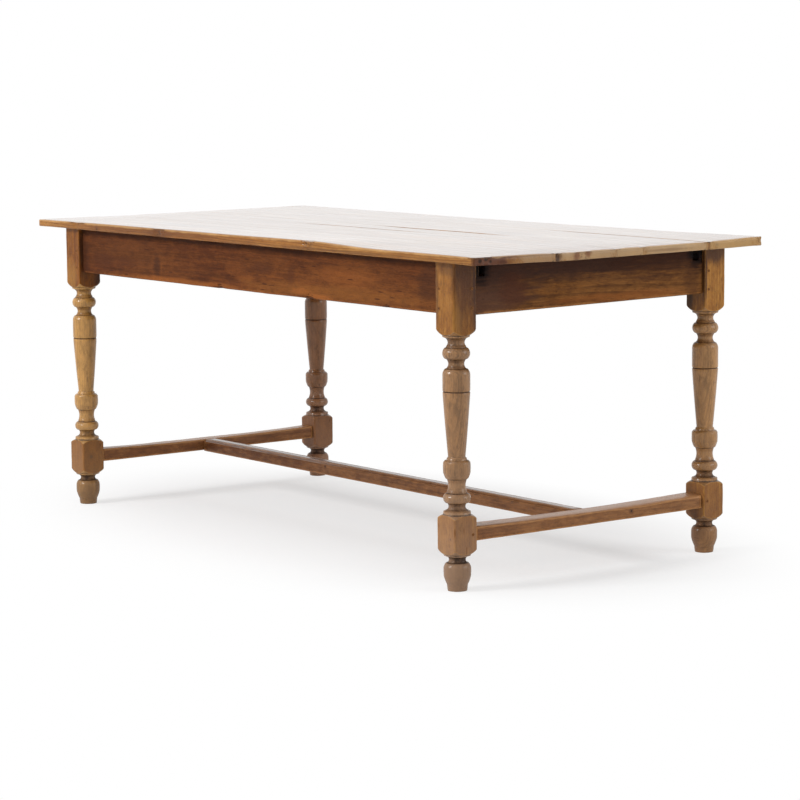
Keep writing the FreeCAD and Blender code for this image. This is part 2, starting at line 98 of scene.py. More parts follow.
# %% Node wiring
class Wiring:
    """A node tree being wired up. Values may be numbers, colours, vectors or other nodes' outputs."""

    def __init__(self, tree):
        self.tree = tree

    def feed(self, socket, value):
        if isinstance(value, bpy.types.NodeSocket):
            self.tree.links.new(value, socket)
        elif value is not None:
            socket.default_value = value

    def add(self, kind, inputs, output=0, **settings):
        node = self.tree.nodes.new("ShaderNode" + kind)
        for name, value in settings.items():
            setattr(node, name, value)
        for name, value in inputs.items():
            self.feed(node.inputs[name], value)
        return node if output is None else node.outputs[output]

    def math(self, operation, first, second=None):
        return self.add("Math", {0: first, 1: second}, operation=operation)

    def plus(self, first, second):
        return self.math("ADD", first, second)

    def minus(self, first, second):
        return self.math("SUBTRACT", first, second)

    def times(self, first, second):
        return self.math("MULTIPLY", first, second)

    def vector(self, operation, first, second=None, output=0):
        return self.add("VectorMath", {0: first, 1: second}, output, operation=operation)

    def stretch(self, place, factors):
        return self.vector("MULTIPLY", place, factors)

    def scale(self, vector, factor):
        return self.add("VectorMath", {0: vector, "Scale": factor}, operation="SCALE")

    def length(self, vector):
        return self.vector("LENGTH", vector, output=1)

    def part(self, vector, axis):
        return self.add("SeparateXYZ", {0: vector}, axis)

    def attribute(self, name):
        return self.add("Attribute", {}, "Fac", attribute_name=name)

    def spread(self, value, low, high, to_low=0.0, to_high=1.0):
        """Map a value from one range to another, smoothly and held at both ends."""
        inputs = {"Value": value, "From Min": low, "From Max": high, "To Min": to_low, "To Max": to_high}
        return self.add("MapRange", inputs, interpolation_type="SMOOTHSTEP")

    def blend(self, amount, first, second, way="MIX"):
        """Mix two colours by an amount from 0 to 1."""
        return self.add("Mix", {0: amount, 6: first, 7: second}, 2, data_type="RGBA", blend_type=way)

    def layer(self, under, over, mask, strength):
        """Lay a colour over another where a mask says, by a strength."""
        return self.blend(self.times(mask, strength), under, over)

    def cloud(self, place, scale, detail=2.0, roughness=0.5):
        inputs = {"Vector": place, "Scale": scale, "Detail": detail, "Roughness": roughness}
        return self.add("TexNoise", inputs)

    def group(self, group, inputs, output=0):
        """Place a node group and give back one of its outputs, or the node when output is None."""
        node = self.tree.nodes.new("ShaderNodeGroup")
        node.node_tree = group
        for name, value in inputs.items():
            self.feed(node.inputs[name], value)
        return node if output is None else node.outputs[output]


def new_group(name, inputs, outputs):
    """An empty node group with named sockets: (group, wiring, its inputs, its outputs)."""
    group = bpy.data.node_groups.new(name, "ShaderNodeTree")
    for way, sockets in (("INPUT", inputs), ("OUTPUT", outputs)):
        for socket_name, kind in sockets.items():
            group.interface.new_socket(socket_name, in_out=way, socket_type="NodeSocket" + kind)
    entry = group.nodes.new("NodeGroupInput")
    leaving = group.nodes.new("NodeGroupOutput")
    return group, Wiring(group), entry.outputs, leaving.inputs


# %% [markdown]
# The studio is a white room with large soft lamps. The main lamp stands off the front left, so the long
# side is bright and the end is in half shade. What the camera sees past the floor is plain white, also
# in a reflection, and that white gives the waxed top its sheen.

# %% World and lamps
surround_strength = 0.5
main_lamp_power = 290
overhead_lamp_power = 50
end_lamp_power = 57


def white_background(world):
    """White to the camera and in reflections, and a soft, weaker surround for everything else."""
    world.use_nodes = True
    wiring = Wiring(world.node_tree)
    world.node_tree.nodes.clear()
    path = world.node_tree.nodes.new("ShaderNodeLightPath").outputs
    seen = wiring.math("MAXIMUM", path["Is Camera Ray"], path["Is Glossy Ray"])
    seen = wiring.math("MAXIMUM", seen, path["Is Transmission Ray"])
    strength = wiring.spread(seen, 0.0, 1.0, surround_strength, 1.0)
    background = wiring.add("Background", {"Color": (1, 1, 1, 1), "Strength": strength})
    wiring.add("OutputWorld", {"Surface": background}, None)


def soft_lamp(name, place, aim, size, power):
    data = bpy.data.lights.new(name, "AREA")
    data.shape = "RECTANGLE"
    data.size, data.size_y = size
    data.energy = power
    lamp = bpy.data.objects.new(name, data)
    bpy.context.scene.collection.objects.link(lamp)
    lamp.location = place
    lamp.rotation_euler = (Vector(aim) - Vector(place)).to_track_quat("-Z", "Y").to_euler()
    print("lamp", name, power, "W")


world = bpy.data.worlds.new("studio")
white_background(world)
bpy.context.scene.world = world
soft_lamp("main_lamp", (-1.2, -6.1, 3.6), (0, 0, 0.4), (2.1, 1.5), main_lamp_power)
soft_lamp("overhead_lamp", (-0.6, -1.2, 4.2), (0, 0, 0.4), (4.0, 3.0), overhead_lamp_power)
soft_lamp("end_lamp", (4.2, 2.6, 1.9), (0.6, 0, 0.4), (2.4, 2.0), end_lamp_power)

# %% [markdown]
# The floor is one large sheet of pale paper. A plane is enough, because only its colour and the shadow
# on it are seen. Round the table it is lit like any surface, so the soft shadow falls on it, but the
# camera sees it partly mixed with plain white, a painted light that makes that shadow paler. Further
# out it turns plain white to the camera, so the sheet has no edge in the picture.

# %% Floor
floor_size = 40
floor_colour = (0.93, 0.935, 0.945, 1)
shadow_shape = (1 / 1.02, 1 / 0.62, 1)
shadow_reach = (0.68, 1.32)
# share of plain white the camera sees round the table: painted light that pales the shadow
near_white = 0.47

bpy.ops.object.select_all(action="DESELECT")
bpy.ops.mesh.primitive_plane_add(size=floor_size, location=(0, 0, 0))
floor = bpy.context.object
floor.name = "floor"
floor_paint = bpy.data.materials.new("floor_paper")
floor_paint.use_nodes = True
floor_wiring = Wiring(floor_paint.node_tree)
floor_nodes = floor_paint.node_tree.nodes
floor_shader = floor_nodes["Principled BSDF"]
floor_shader.inputs["Base Color"].default_value = floor_colour
floor_shader.inputs["Roughness"].default_value = 0.95
floor_shader.inputs["Specular IOR Level"].default_value = 0.1
floor_place = floor_nodes.new("ShaderNodeTexCoord").outputs["Object"]
floor_path = floor_nodes.new("ShaderNodeLightPath").outputs
from_middle = floor_wiring.length(floor_wiring.stretch(floor_place, shadow_shape))
far = floor_wiring.spread(from_middle, *shadow_reach, near_white, 1.0)
seen = floor_wiring.math("MAXIMUM", floor_path["Is Camera Ray"], floor_path["Is Glossy Ray"])
white = floor_wiring.add("Emission", {"Color": (1, 1, 1, 1), "Strength": 1.0})
whitened = floor_wiring.times(far, seen)
paper = floor_wiring.add("MixShader", {0: whitened, 1: floor_shader.outputs[0], 2: white})
floor_wiring.feed(floor_nodes["Material Output"].inputs["Surface"], paper)
floor.data.materials.append(floor_paint)
print("floor", floor_size, "m wide")

# %% [markdown]
# Wood is a bundle of tubes laid down in yearly rings round the pith. The figure is worked out in the
# solid, from a place along and across the grain, so a long face shows lines and an end shows rings.
# Each material turns its grain to X and puts the pith where the log's middle would have been.

# %% Timber figure
timber_figure, wiring, given, out = new_group(
    "timber_figure",
    {"Vector": "Vector", "Ring Width": "Float", "Wander": "Float"},
    {
        "Rings": "Float", "Fibre": "Float", "Streaks": "Float", "Drift": "Float", "Pores": "Float",
        "Mottle": "Float", "Flecks": "Float",
    },
)
# the log isn't straight, so the rings wander slowly along it
along = wiring.stretch(given["Vector"], (0.16, 1, 1))
bend = wiring.add("TexNoise", {"Vector": along, "Scale": 7.0, "Detail": 3.0}, "Color")
bend = wiring.vector("SUBTRACT", bend, (0.5, 0.5, 0.5))
grain = wiring.vector("ADD", given["Vector"], wiring.scale(bend, given["Wander"]))
# one year's wood: pale and slowly darker, then a short dark line
across = wiring.length(wiring.stretch(grain, (0, 1, 1)))
years = wiring.math("DIVIDE", across, given["Ring Width"])
years = wiring.plus(years, wiring.cloud(wiring.stretch(grain, (2, 30, 30)), 1.0, 1.0))
year = wiring.math("FRACT", years)
late = wiring.spread(year, 0.3, 0.86)
early = wiring.spread(year, 0.9, 1.0, 1.0, 0.0)
ring_place = wiring.stretch(grain, (4, 24, 24))
clear = wiring.spread(wiring.cloud(ring_place, 1.0, 2.0), 0.35, 0.68, 0.15, 1.0)
wiring.feed(out["Rings"], wiring.times(wiring.times(late, early), clear))
# fine fibre, broader streaks, slow drift of colour and open pores, all stretched along the grain
fibre_place = wiring.stretch(grain, (14, 700, 700))
wiring.feed(out["Fibre"], wiring.spread(wiring.cloud(fibre_place, 1.0, 3.0, 0.6), 0.3, 0.7))
streak_place = wiring.stretch(grain, (3.2, 90, 90))
wiring.feed(out["Streaks"], wiring.spread(wiring.cloud(streak_place, 1.0, 6.0, 0.8), 0.34, 0.66))
drift_place = wiring.stretch(grain, (1.8, 9, 9))
wiring.feed(out["Drift"], wiring.spread(wiring.cloud(drift_place, 1.0, 2.0), 0.3, 0.7))
pore_place = wiring.stretch(grain, (70, 1500, 1500))
wiring.feed(out["Pores"], wiring.spread(wiring.cloud(pore_place, 1.0, 1.0), 0.6, 0.72))
# blotches where the polish soaked in unevenly, and short dark flecks along the grain
mottle_place = wiring.stretch(grain, (26, 60, 60))
wiring.feed(out["Mottle"], wiring.spread(wiring.cloud(mottle_place, 1.0, 6.0, 0.68), 0.3, 0.7))
fleck_place = wiring.stretch(grain, (16, 110, 110))
from_fleck = wiring.add("TexVoronoi", {"Vector": fleck_place, "Scale": 1.0}, "Distance")
fleck = wiring.spread(from_fleck, 0.12, 0.24, 1.0, 0.0)
few = wiring.spread(wiring.cloud(grain, 16.0, 2.0), 0.46, 0.6)
wiring.feed(out["Flecks"], wiring.times(fleck, few))
print("timber figure:", len(timber_figure.nodes), "nodes")

# %% [markdown]
# A knot is where a branch grew. The grain flows round it, so the knot draws the figure's place towards
# its own middle, and gives a dark core and a soft reddish halo.

# %% Knot
knot, wiring, given, out = new_group(
    "knot",
    {"Vector": "Vector", "Place": "Vector", "Size": "Float"},
    {"Vector": "Vector", "Core": "Float", "Halo": "Float"},
)
away = wiring.vector("SUBTRACT", given["Vector"], given["Place"])
ragged = wiring.cloud(given["Vector"], 160.0, 2.0)
reach = wiring.plus(0.75, wiring.times(ragged, 0.5))
share = wiring.math("DIVIDE", wiring.math("DIVIDE", wiring.length(away), given["Size"]), reach)
core = wiring.spread(share, 0.55, 1.0, 1.0, 0.0)
halo = wiring.spread(share, 0.8, 3.0, 1.0, 0.0)
pull = wiring.times(wiring.spread(share, 0.6, 5.0, -1.0, 0.0), given["Size"])
drawn = wiring.scale(wiring.vector("NORMALIZE", away), pull)
wiring.feed(out["Vector"], wiring.vector("ADD", given["Vector"], drawn))
wiring.feed(out["Core"], core)
wiring.feed(out["Halo"], halo)
print("knot:", len(knot.nodes), "nodes")

# %% [markdown]
# A stain is a soft cloud of spilt drink or old dirt, and the same cloud also lays painted shade where the
# light falls weakly. It runs along the fibres, so its rim is torn by a noise that is stretched along the
# grain.

# %% Stain
stain, wiring, given, out = new_group(
    "stain",
    {"Vector": "Vector", "Grain": "Vector", "Place": "Vector", "Reach": "Vector", "Tear": "Float"},
    {"Mask": "Float"},
)
away = wiring.vector("SUBTRACT", given["Vector"], given["Place"])
share = wiring.length(wiring.vector("DIVIDE", away, given["Reach"]))
fibres = wiring.stretch(given["Grain"], (11, 70, 70))
torn = wiring.minus(wiring.cloud(fibres, 1.0, 5.0, 0.68), 0.5)
share = wiring.plus(share, wiring.times(torn, given["Tear"]))
wiring.feed(out["Mask"], wiring.spread(share, 0.35, 1.1, 1.0, 0.0))
print("stain:", len(stain.nodes), "nodes")

# %% [markdown]
# Hands, cloths and boots rub the arrises pale. Hollows and creases are darkened, for dirt and painted
# shade together. Each piece carries how sharp it is at each point as a value named edge, which this group
# breaks up with noise.

# %% Wear
wear, wiring, given, out = new_group(
    "wear",
    {"Vector": "Vector", "Edge": "Float"},
    {"Rubbed": "Float", "Grime And Shade": "Float", "Scratches": "Float"},
)
patchy = wiring.cloud(given["Vector"], 22.0, 4.0, 0.62)
fine = wiring.cloud(given["Vector"], 190.0, 2.0, 0.6)
noisy = wiring.plus(wiring.times(patchy, 0.7), wiring.times(fine, 0.3))
rubbed = wiring.minus(wiring.plus(given["Edge"], noisy), 0.95)
wiring.feed(out["Rubbed"], wiring.spread(rubbed, 0.0, 0.45))
# dirt in patches, and dirt with painted shade in the creases
hollow = wiring.minus(wiring.minus(noisy, given["Edge"]), 0.55)
wiring.feed(out["Grime And Shade"], wiring.spread(hollow, 0.0, 0.4))


def hairlines(turn, stretch, rarity):
    """Fine scratches that all run one way."""
    place = wiring.add("Mapping", {"Vector": given["Vector"], "Rotation": turn, "Scale": stretch})
    return wiring.spread(wiring.cloud(place, 1.0, 0.0), rarity, rarity + 0.04)


one_way = hairlines((0.3, 0.4, 0.7), (9, 330, 330), 0.74)
other_way = hairlines((0.1, 0.2, -1.1), (300, 11, 300), 0.75)
wiring.feed(out["Scratches"], wiring.math("MAXIMUM", one_way, other_way))
print("wear:", len(wear.nodes), "nodes")

# %% [markdown]
# A piece's wood is put together in layers, from the wood outwards: the figure, the knots, the stain marks
# and the painted shade, the rubbed arrises, the dirt and painted shade in the creases, and last the wax.
# Its own values are its colours, the run of its grain, where the pith was, and its marks. What a piece
# doesn't say is taken from the usual wood.

# %% Wood values
grain_turns = {"X": (0, 0, 0), "Y": (0, 0, -math.pi / 2), "Z": (0, math.pi / 2, 0)}
age_colour = (0.026, 0.012, 0.007)
usual_wood = {
    # the figure
    "ring_width": 0.0045, "wander": 0.02, "ring_strength": 0.35, "streak_strength": 0.6, "mottle": 0.5,
    "flecks": 0.5, "end_dark": 0.5, "side_tone": None,
    # turned work: (scrubbed colour, colour of the dirt and painted shade in the hollows, depth of the
    # tool's marks)
    "turned": None,
    # the marks: a knot is (place, size), a stain is (place, reach, colour, strength), and a patch of
    # painted shade is given the same way
    "knots": (), "stains": (), "low_tone": None, "rubbed": 0.6, "grime": 0.7, "scratched": 0.12,
    # the wax, and the relief under it
    "roughness": 0.42, "polish": 0.12, "wax": 0.05, "side_wax": None, "wax_roughness": 0.25,
    "wax_gloss": 1.5, "figure_depth": 1.0,
}


def opaque(colour):
    return (*colour, 1.0)


def draw_to_knots(wiring, place, knots):
    """The place, drawn towards each knot, and what each knot gives out."""
    marks = []
    for knot_place, size in knots:
        mark = wiring.group(knot, {"Vector": place, "Place": knot_place, "Size": size}, None).outputs
        place = mark["Vector"]
        marks.append(mark)
    return place, marks


def start_wood(name, colours, grain_along, pith, values):
    """A new material, with all that its layers read. Colours are (rubbed, plain, dark)."""
    look = SimpleNamespace(**{**usual_wood, **values})
    look.material = bpy.data.materials.new(name)
    look.material.use_nodes = True
    nodes = look.material.node_tree.nodes
    wiring = Wiring(look.material.node_tree)
    look.wiring = wiring
    look.shader = nodes["Principled BSDF"].inputs
    look.pale, look.plain, look.dark = [opaque(colour) for colour in colours]
    source = nodes.new("ShaderNodeTexCoord").outputs
    look.place = source["Object"]
    look.height = wiring.part(look.place, "Z")
    look.upward = wiring.part(source["Normal"], "Z")
    look.end_facing = wiring.math("ABSOLUTE", wiring.part(source["Normal"], grain_along))
    look.edge = wiring.attribute("edge")
    drawn, look.knot_marks = draw_to_knots(wiring, look.place, look.knots)
    shifted = wiring.vector("SUBTRACT", drawn, pith)
    look.grain = wiring.add("Mapping", {"Vector": shifted, "Rotation": grain_turns[grain_along]})
    figure_values = {"Vector": look.grain, "Ring Width": look.ring_width, "Wander": look.wander}
    look.figure = wiring.group(timber_figure, figure_values, None).outputs
    look.wear = wiring.group(wear, {"Vector": look.place, "Edge": look.edge}, None).outputs
    if look.turned:
        look.scrubbed_colour, look.hollow_colour, look.tool_depth = look.turned
        look.on_turning = wiring.attribute("turning")
        look.hollow = wiring.attribute("hollow")
    return look


# %% [markdown]
# The colour starts as the wood grew: plain, with darker streaks, rings and pores, and dark where the
# ends drink in the polish. Turned wood is scrubbed paler, and its hollows are darkened for dirt and
# painted shade together. Then come the marks of its life and the painted shade, each as a colour laid
# over by a mask.

# %% Wood colour
pale_on_turning, dark_on_turning = 1.25, 0.42
stain_tear = 1.4
low_reach = (0.02, 0.34)


def scrub(look):
    """Make the wood paler where the lathe has cut."""
    wiring = look.wiring
    scrubbed = wiring.times(look.on_turning, wiring.spread(look.figure["Drift"], 0.0, 1.0, 0.75, 1.0))
    paler = opaque([part * pale_on_turning for part in look.scrubbed_colour])
    darker = opaque([part * dark_on_turning for part in look.scrubbed_colour])
    look.plain = wiring.blend(scrubbed, look.plain, opaque(look.scrubbed_colour))
    look.pale = wiring.blend(look.on_turning, look.pale, paler)
    look.dark = wiring.blend(look.on_turning, look.dark, darker)


def grown_colour(look):
    """The wood as it grew, was cut and took up its first polish."""
    wiring, figure, dark = look.wiring, look.figure, look.dark
    in_dark_blotch = wiring.spread(figure["Mottle"], 0.1, 0.5, look.mottle, 0.0)
    in_pale_blotch = wiring.spread(figure["Mottle"], 0.5, 0.9, 0.0, look.mottle * 0.6)
    on_end = wiring.spread(look.end_facing, 0.75, 0.95, 0.0, look.end_dark)
    colour = wiring.layer(look.plain, dark, figure["Streaks"], look.streak_strength)
    colour = wiring.layer(colour, look.pale, figure["Drift"], 0.4)
    colour = wiring.blend(in_dark_blotch, colour, dark)
    colour = wiring.blend(in_pale_blotch, colour, look.pale)
    colour = wiring.layer(colour, dark, figure["Rings"], look.ring_strength)
    colour = wiring.layer(colour, dark, figure["Fibre"], 0.3)
    colour = wiring.layer(colour, opaque(age_colour), figure["Pores"], 0.6)
    colour = wiring.blend(on_end, colour, dark)
    if look.side_tone:
        on_side = wiring.spread(look.upward, 0.3, 0.8, 1.0, 0.0)
        colour = wiring.blend(on_side, colour, opaque(look.side_tone), "MULTIPLY")
    if look.turned:
        # the hollows of the turning darken for dirt and painted shade together
        dirt_and_shade = wiring.times(look.hollow, wiring.spread(figure["Mottle"], 0.0, 1.0, 0.62, 0.38))
        colour = wiring.blend(dirt_and_shade, colour, opaque(look.hollow_colour))
    return colour


def lived_colour(look, colour):
    """The marks of its life, and the patches of painted shade, over the grown colour."""
    wiring, old = look.wiring, opaque(age_colour)
    for mark in look.knot_marks:
        colour = wiring.layer(colour, look.dark, mark["Halo"], 0.6)
        colour = wiring.layer(colour, old, mark["Core"], 0.8)
    # stain marks and patches of painted shade are laid on alike
    for place, reach, stain_and_shade_colour, strength in look.stains:
        values = {"Vector": look.place, "Grain": look.grain, "Place": place, "Reach": reach}
        mask = wiring.group(stain, {**values, "Tear": stain_tear})
        colour = wiring.layer(colour, opaque(stain_and_shade_colour), mask, strength)
    if look.low_tone:
        low = wiring.spread(look.height, *low_reach, 0.5, 0.0)
        colour = wiring.blend(low, colour, opaque(look.low_tone))
    colour = wiring.layer(colour, look.dark, look.figure["Flecks"], look.flecks)
    colour = wiring.layer(colour, look.pale, look.wear["Rubbed"], look.rubbed)
    colour = wiring.layer(colour, old, look.wear["Grime And Shade"], look.grime)
    return wiring.layer(colour, look.pale, look.wear["Scratches"], look.scratched)


# %% [markdown]
# The wax is a thin coat. It is worn off the arrises and scuffed off the feet, and a cloth hardly gets
# it into the hollows. Under it the figure stands up by a fraction of a millimetre, which a bump shows
# well enough, because no outline depends on it.

# %% Wax and relief
bare_height = 0.00022
arris_wax = 0.2
block_wax = 0.15
hollow_wax = 0.35
foot_wax = 0.45
scuffed_height = (0.05, 0.08)
tool_marks = 320.0


def lay_wax(look):
    """Roughness and coat, both uneven."""
    wiring, shader = look.wiring, look.shader
    shine = wiring.plus(look.roughness, wiring.times(look.figure["Streaks"], 0.12))
    shine = wiring.plus(shine, wiring.times(look.wear["Grime And Shade"], 0.25))
    shine = wiring.minus(shine, wiring.times(look.wear["Rubbed"], 0.08))
    wiring.feed(shader["Roughness"], shine)
    worn_off = wiring.plus(look.figure["Streaks"], look.wear["Grime And Shade"])
    coat = wiring.spread(worn_off, 0.0, 2.0, look.wax, look.wax * 0.85)
    coat = wiring.times(coat, wiring.spread(look.edge, 0.1, 0.6, 1.0, arris_wax))
    if look.side_wax is not None:
        coat = wiring.times(coat, wiring.spread(look.upward, 0.2, 0.8, look.side_wax, 1.0))
    if look.turned:
        coat = wiring.times(coat, wiring.spread(look.on_turning, 0.0, 1.0, block_wax, 1.0))
        coat = wiring.times(coat, wiring.spread(look.hollow, 0.0, 1.0, 1.0, hollow_wax))
        coat = wiring.times(coat, wiring.spread(look.height, *scuffed_height, foot_wax, 1.0))
    wiring.feed(shader["Coat Weight"], coat)
    shader["Specular IOR Level"].default_value = look.polish
    shader["Coat Roughness"].default_value = look.wax_roughness
    shader["Coat IOR"].default_value = look.wax_gloss


def raise_figure(look):
    """The relief of the figure, with the fine rings of the lathe's tool where it has cut."""
    wiring, figure = look.wiring, look.figure
    relief = wiring.plus(wiring.times(figure["Fibre"], 0.5), wiring.times(figure["Streaks"], 0.5))
    relief = wiring.minus(relief, wiring.times(figure["Pores"], 1.2))
    relief = wiring.minus(relief, wiring.times(look.wear["Scratches"], 0.8))
    relief = wiring.plus(relief, wiring.times(figure["Rings"], 0.4))
    if look.turned:
        tool_place = wiring.add("CombineXYZ", {"Z": wiring.times(look.height, tool_marks)})
        tool = wiring.times(wiring.cloud(tool_place, 1.0, 3.0, 0.7), look.on_turning)
        relief = wiring.plus(relief, wiring.times(tool, look.tool_depth))
    depth = bare_height * look.figure_depth
    bump = wiring.add("Bump", {"Height": relief, "Distance": depth, "Strength": 1.0})
    wiring.feed(look.shader["Normal"], bump)


def wood(name, colours, grain_along, pith, **values):
    """A waxed wood for one piece: its name, (rubbed, plain, dark), its grain's axis and its pith."""
    look = start_wood(name, colours, grain_along, pith, values)
    if look.turned:
        scrub(look)
    look.wiring.feed(look.shader["Base Color"], lived_colour(look, grown_colour(look)))
    lay_wax(look)
    raise_figure(look)
    return look.material


# %% [markdown]
# Every piece is shaped by hand tools: a primitive is added at its size, cut, moved and rounded in
# edit mode. These helpers select parts of a mesh by their place, so that a tool acts only there.

# %% Workbench
arris_angle = math.radians(50)
smooth_angle = 32


def put_down():
    """Leave edit mode and deselect everything, so the next tool touches only its own piece."""
    if bpy.context.object and bpy.context.object.mode != "OBJECT":
        bpy.ops.object.mode_set(mode="OBJECT")
    bpy.ops.object.select_all(action="DESELECT")


def pick_up(*pieces):
    put_down()
    for piece in pieces:
        piece.select_set(True)
    bpy.context.view_layer.objects.active = pieces[0]


def work_on(piece):
    pick_up(piece)
    bpy.ops.object.mode_set(mode="EDIT")


def choose(piece, kind, test):
    """Select the vertices, edges or faces of the open piece that pass a test."""
    bpy.ops.mesh.select_mode(type=kind)
    bpy.ops.mesh.select_all(action="DESELECT")
    mesh = bmesh.from_edit_mesh(piece.data)
    elements = {"VERT": mesh.verts, "EDGE": mesh.edges, "FACE": mesh.faces}[kind]
    for element in elements:
        if test(element):
            element.select_set(True)
    bmesh.update_edit_mesh(piece.data)


def runs_along(edge, axis):
    """True if an edge runs along an axis: 0 for X, 1 for Y, 2 for Z."""
    step = edge.verts[1].co - edge.verts[0].co
    return abs(step[axis]) > 0.98 * step.length > 0


def is_arris(edge):
    return len(edge.link_faces) == 2 and edge.calc_face_angle(0) > arris_angle


def apply_modifier(piece, kind, **settings):
    """Add a modifier, set it and apply it at once."""
    pick_up(piece)
    modifier = piece.modifiers.new(kind.lower(), kind)
    for name, value in settings.items():
        setattr(modifier, name, value)
    bpy.ops.object.modifier_apply(modifier=modifier.name)


def settle(piece):
    """Put a piece's place into its mesh, so that the object itself sits at the origin."""
    pick_up(piece)
    bpy.ops.object.transform_apply(location=True, rotation=True, scale=True)


def duplicate(piece, name, move=(0, 0, 0)):
    """A copy with its own mesh, moved."""
    copy = piece.copy()
    copy.data = piece.data.copy()
    copy.name = name
    bpy.context.scene.collection.objects.link(copy)
    copy.location = move
    settle(copy)
    return copy


def shift(piece, rule):
    """Move each vertex of a piece to where a rule puts it."""
    mesh = bmesh.new()
    mesh.from_mesh(piece.data)
    for vertex in mesh.verts:
        vertex.co = Vector(rule(vertex.co.copy()))
    mesh.normal_update()
    mesh.to_mesh(piece.data)
    mesh.free()


def smooth(piece, degrees=smooth_angle):
    pick_up(piece)
    bpy.ops.object.shade_smooth_by_angle(angle=math.radians(degrees))


def register(piece, slot, finish, *nodes):
    """Give a piece its finish, and say which construction pieces it stands for."""
    piece.data.materials.clear()
    piece.data.materials.append(finish)
    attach(piece, "root")
    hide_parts(*nodes)
    triangles = sum(len(face.vertices) - 2 for face in piece.data.polygons)
    print(piece.name, "stands for", ", ".join(nodes), "with", triangles, "triangles")


# %% [markdown]
# A sawn timber starts as a cube at its size. It is cut across at short steps first, so that it can
# bend, dip and wear unevenly along its length, and then all its arrises are rounded over at once.

# %% Sawn timber
tight_ease = 0.00015


def timber(name, low, high, step, ease, across_step=0.012, corner=None, tight=None):
    """A sawn bar between two corners. A corner is (radius, test) for uprights that get a larger round.
    Arrises that pass the tight test lie against another piece and stay nearly sharp."""
    put_down()
    low, high = Vector(low), Vector(high)
    size = high - low
    bpy.ops.mesh.primitive_cube_add(size=1, location=(low + high) / 2)
    piece = bpy.context.object
    piece.name = name
    piece.scale = size
    settle(piece)
    work_on(piece)
    longest = max(range(3), key=lambda axis: size[axis])
    for axis in range(3):
        cuts = max(1, round(size[axis] / (step if axis == longest else across_step)) - 1)
        choose(piece, "EDGE", lambda edge: runs_along(edge, axis))
        bpy.ops.mesh.subdivide(number_cuts=cuts)
    if corner:
        radius, test = corner
        choose(piece, "EDGE", lambda edge: is_arris(edge) and runs_along(edge, 2) and test(edge))
        bpy.ops.mesh.bevel(offset=radius, segments=6, affect="EDGES")
    choose(piece, "EDGE", lambda edge: is_arris(edge) and not (tight and tight(edge)))
    bpy.ops.mesh.bevel(offset=ease, segments=3, affect="EDGES")
    if tight:
        choose(piece, "EDGE", lambda edge: is_arris(edge) and tight(edge))
        bpy.ops.mesh.bevel(offset=tight_ease, segments=1, affect="EDGES")
    put_down()
    return piece


def take_away(piece, cutter):
    """Cut a shape out of a piece, and throw the cutter away."""
    apply_modifier(piece, "BOOLEAN", operation="DIFFERENCE", object=cutter, solver="EXACT")
    bpy.data.objects.remove(cutter)


def cut_out(piece, low, high):
    """Saw a box out of a piece: a notch or a slot."""
    put_down()
    low, high = Vector(low), Vector(high)
    bpy.ops.mesh.primitive_cube_add(size=1, location=(low + high) / 2)
    cutter = bpy.context.object
    cutter.scale = high - low
    settle(cutter)
    take_away(piece, cutter)


# %% [markdown]
# Old timber is never quite flat or straight. A slow noise bends its faces by a fraction of a
# millimetre, and a finer one eats into the arrises, where knocks fall. How sharp each point is goes
# into the mesh as a value named edge, for the finish to read.

# %% Age
full_sharpness = 0.9
least_sharpness = 0.35
dent_noise = bpy.data.textures.new("dents", "CLOUDS")
dent_noise.noise_scale = 0.03
dent_noise.noise_depth = 2
slow_noise = bpy.data.textures.new("slow_waves", "CLOUDS")
slow_noise.noise_scale = 0.2
slow_noise.noise_depth = 1


def sharpness(piece):
    """How sharp the surface is at each vertex: 1 on an arris, below 0 in a hollow."""
    mesh = bmesh.new()
    mesh.from_mesh(piece.data)
    mesh.verts.ensure_lookup_table()
    turns = []
    for vertex in mesh.verts:
        angles = [edge.calc_face_angle_signed(0) for edge in vertex.link_edges if len(edge.link_faces) == 2]
        turns.append(max(-1, min(1, sum(angles) / full_sharpness)))
    mesh.free()
    return turns


def age(piece, waves, dents, spared=None):
    """Bend the faces a little and knock the arrises in, but not where a place is spared."""
    arrises = piece.vertex_groups.new(name="arrises")
    for index, turn in enumerate(sharpness(piece)):
        if turn > least_sharpness and not (spared and spared(piece.data.vertices[index].co)):
            arrises.add([index], turn, "REPLACE")
    if waves:
        apply_modifier(
            piece, "DISPLACE", texture=slow_noise, texture_coords="LOCAL", strength=waves, mid_level=1.0,
        )
    apply_modifier(
        piece, "DISPLACE", texture=dent_noise, texture_coords="LOCAL", strength=dents, mid_level=0.85,
        vertex_group="arrises",
    )
    piece.vertex_groups.clear()


def store(piece, name, values):
    """Keep one number per vertex in the mesh, for the finish to read."""
    layer = piece.data.attributes.new(name, "FLOAT", "POINT")
    layer.data.foreach_set("value", values)


def mark_edges(piece, soften=None):
    """Store the sharpness, lowered where a rule says so."""
    values = sharpness(piece)
    if soften:
        values = [soften(vertex, value) for vertex, value in zip(piece.data.vertices, values)]
    store(piece, "edge", values)


# %% [markdown]
# A chip is where a chair's arm or a dropped pot broke the arris. Cutting it would leave a clean face, so
# the mesh is made finer there instead, and its points are pushed in unevenly.

# %% Chips
chip_fineness = 3
chip_roughness = 200


def bite(piece, place, reach, depth, direction):
    """Push the points round a place in, along a direction."""
    place, direction = Vector(place), Vector(direction).normalized()
    work_on(piece)
    choose(piece, "FACE", lambda face: (face.calc_center_median() - place).length < reach * 1.6)
    bpy.ops.mesh.subdivide(number_cuts=chip_fineness)
    put_down()

    def push(point):
        share = (point - place).length / reach
        if share > 1:
            return point
        rough = 0.75 + 0.5 * noise.noise(point * chip_roughness)
        return point + direction * depth * rough * (1 - share * share)

    shift(piece, push)


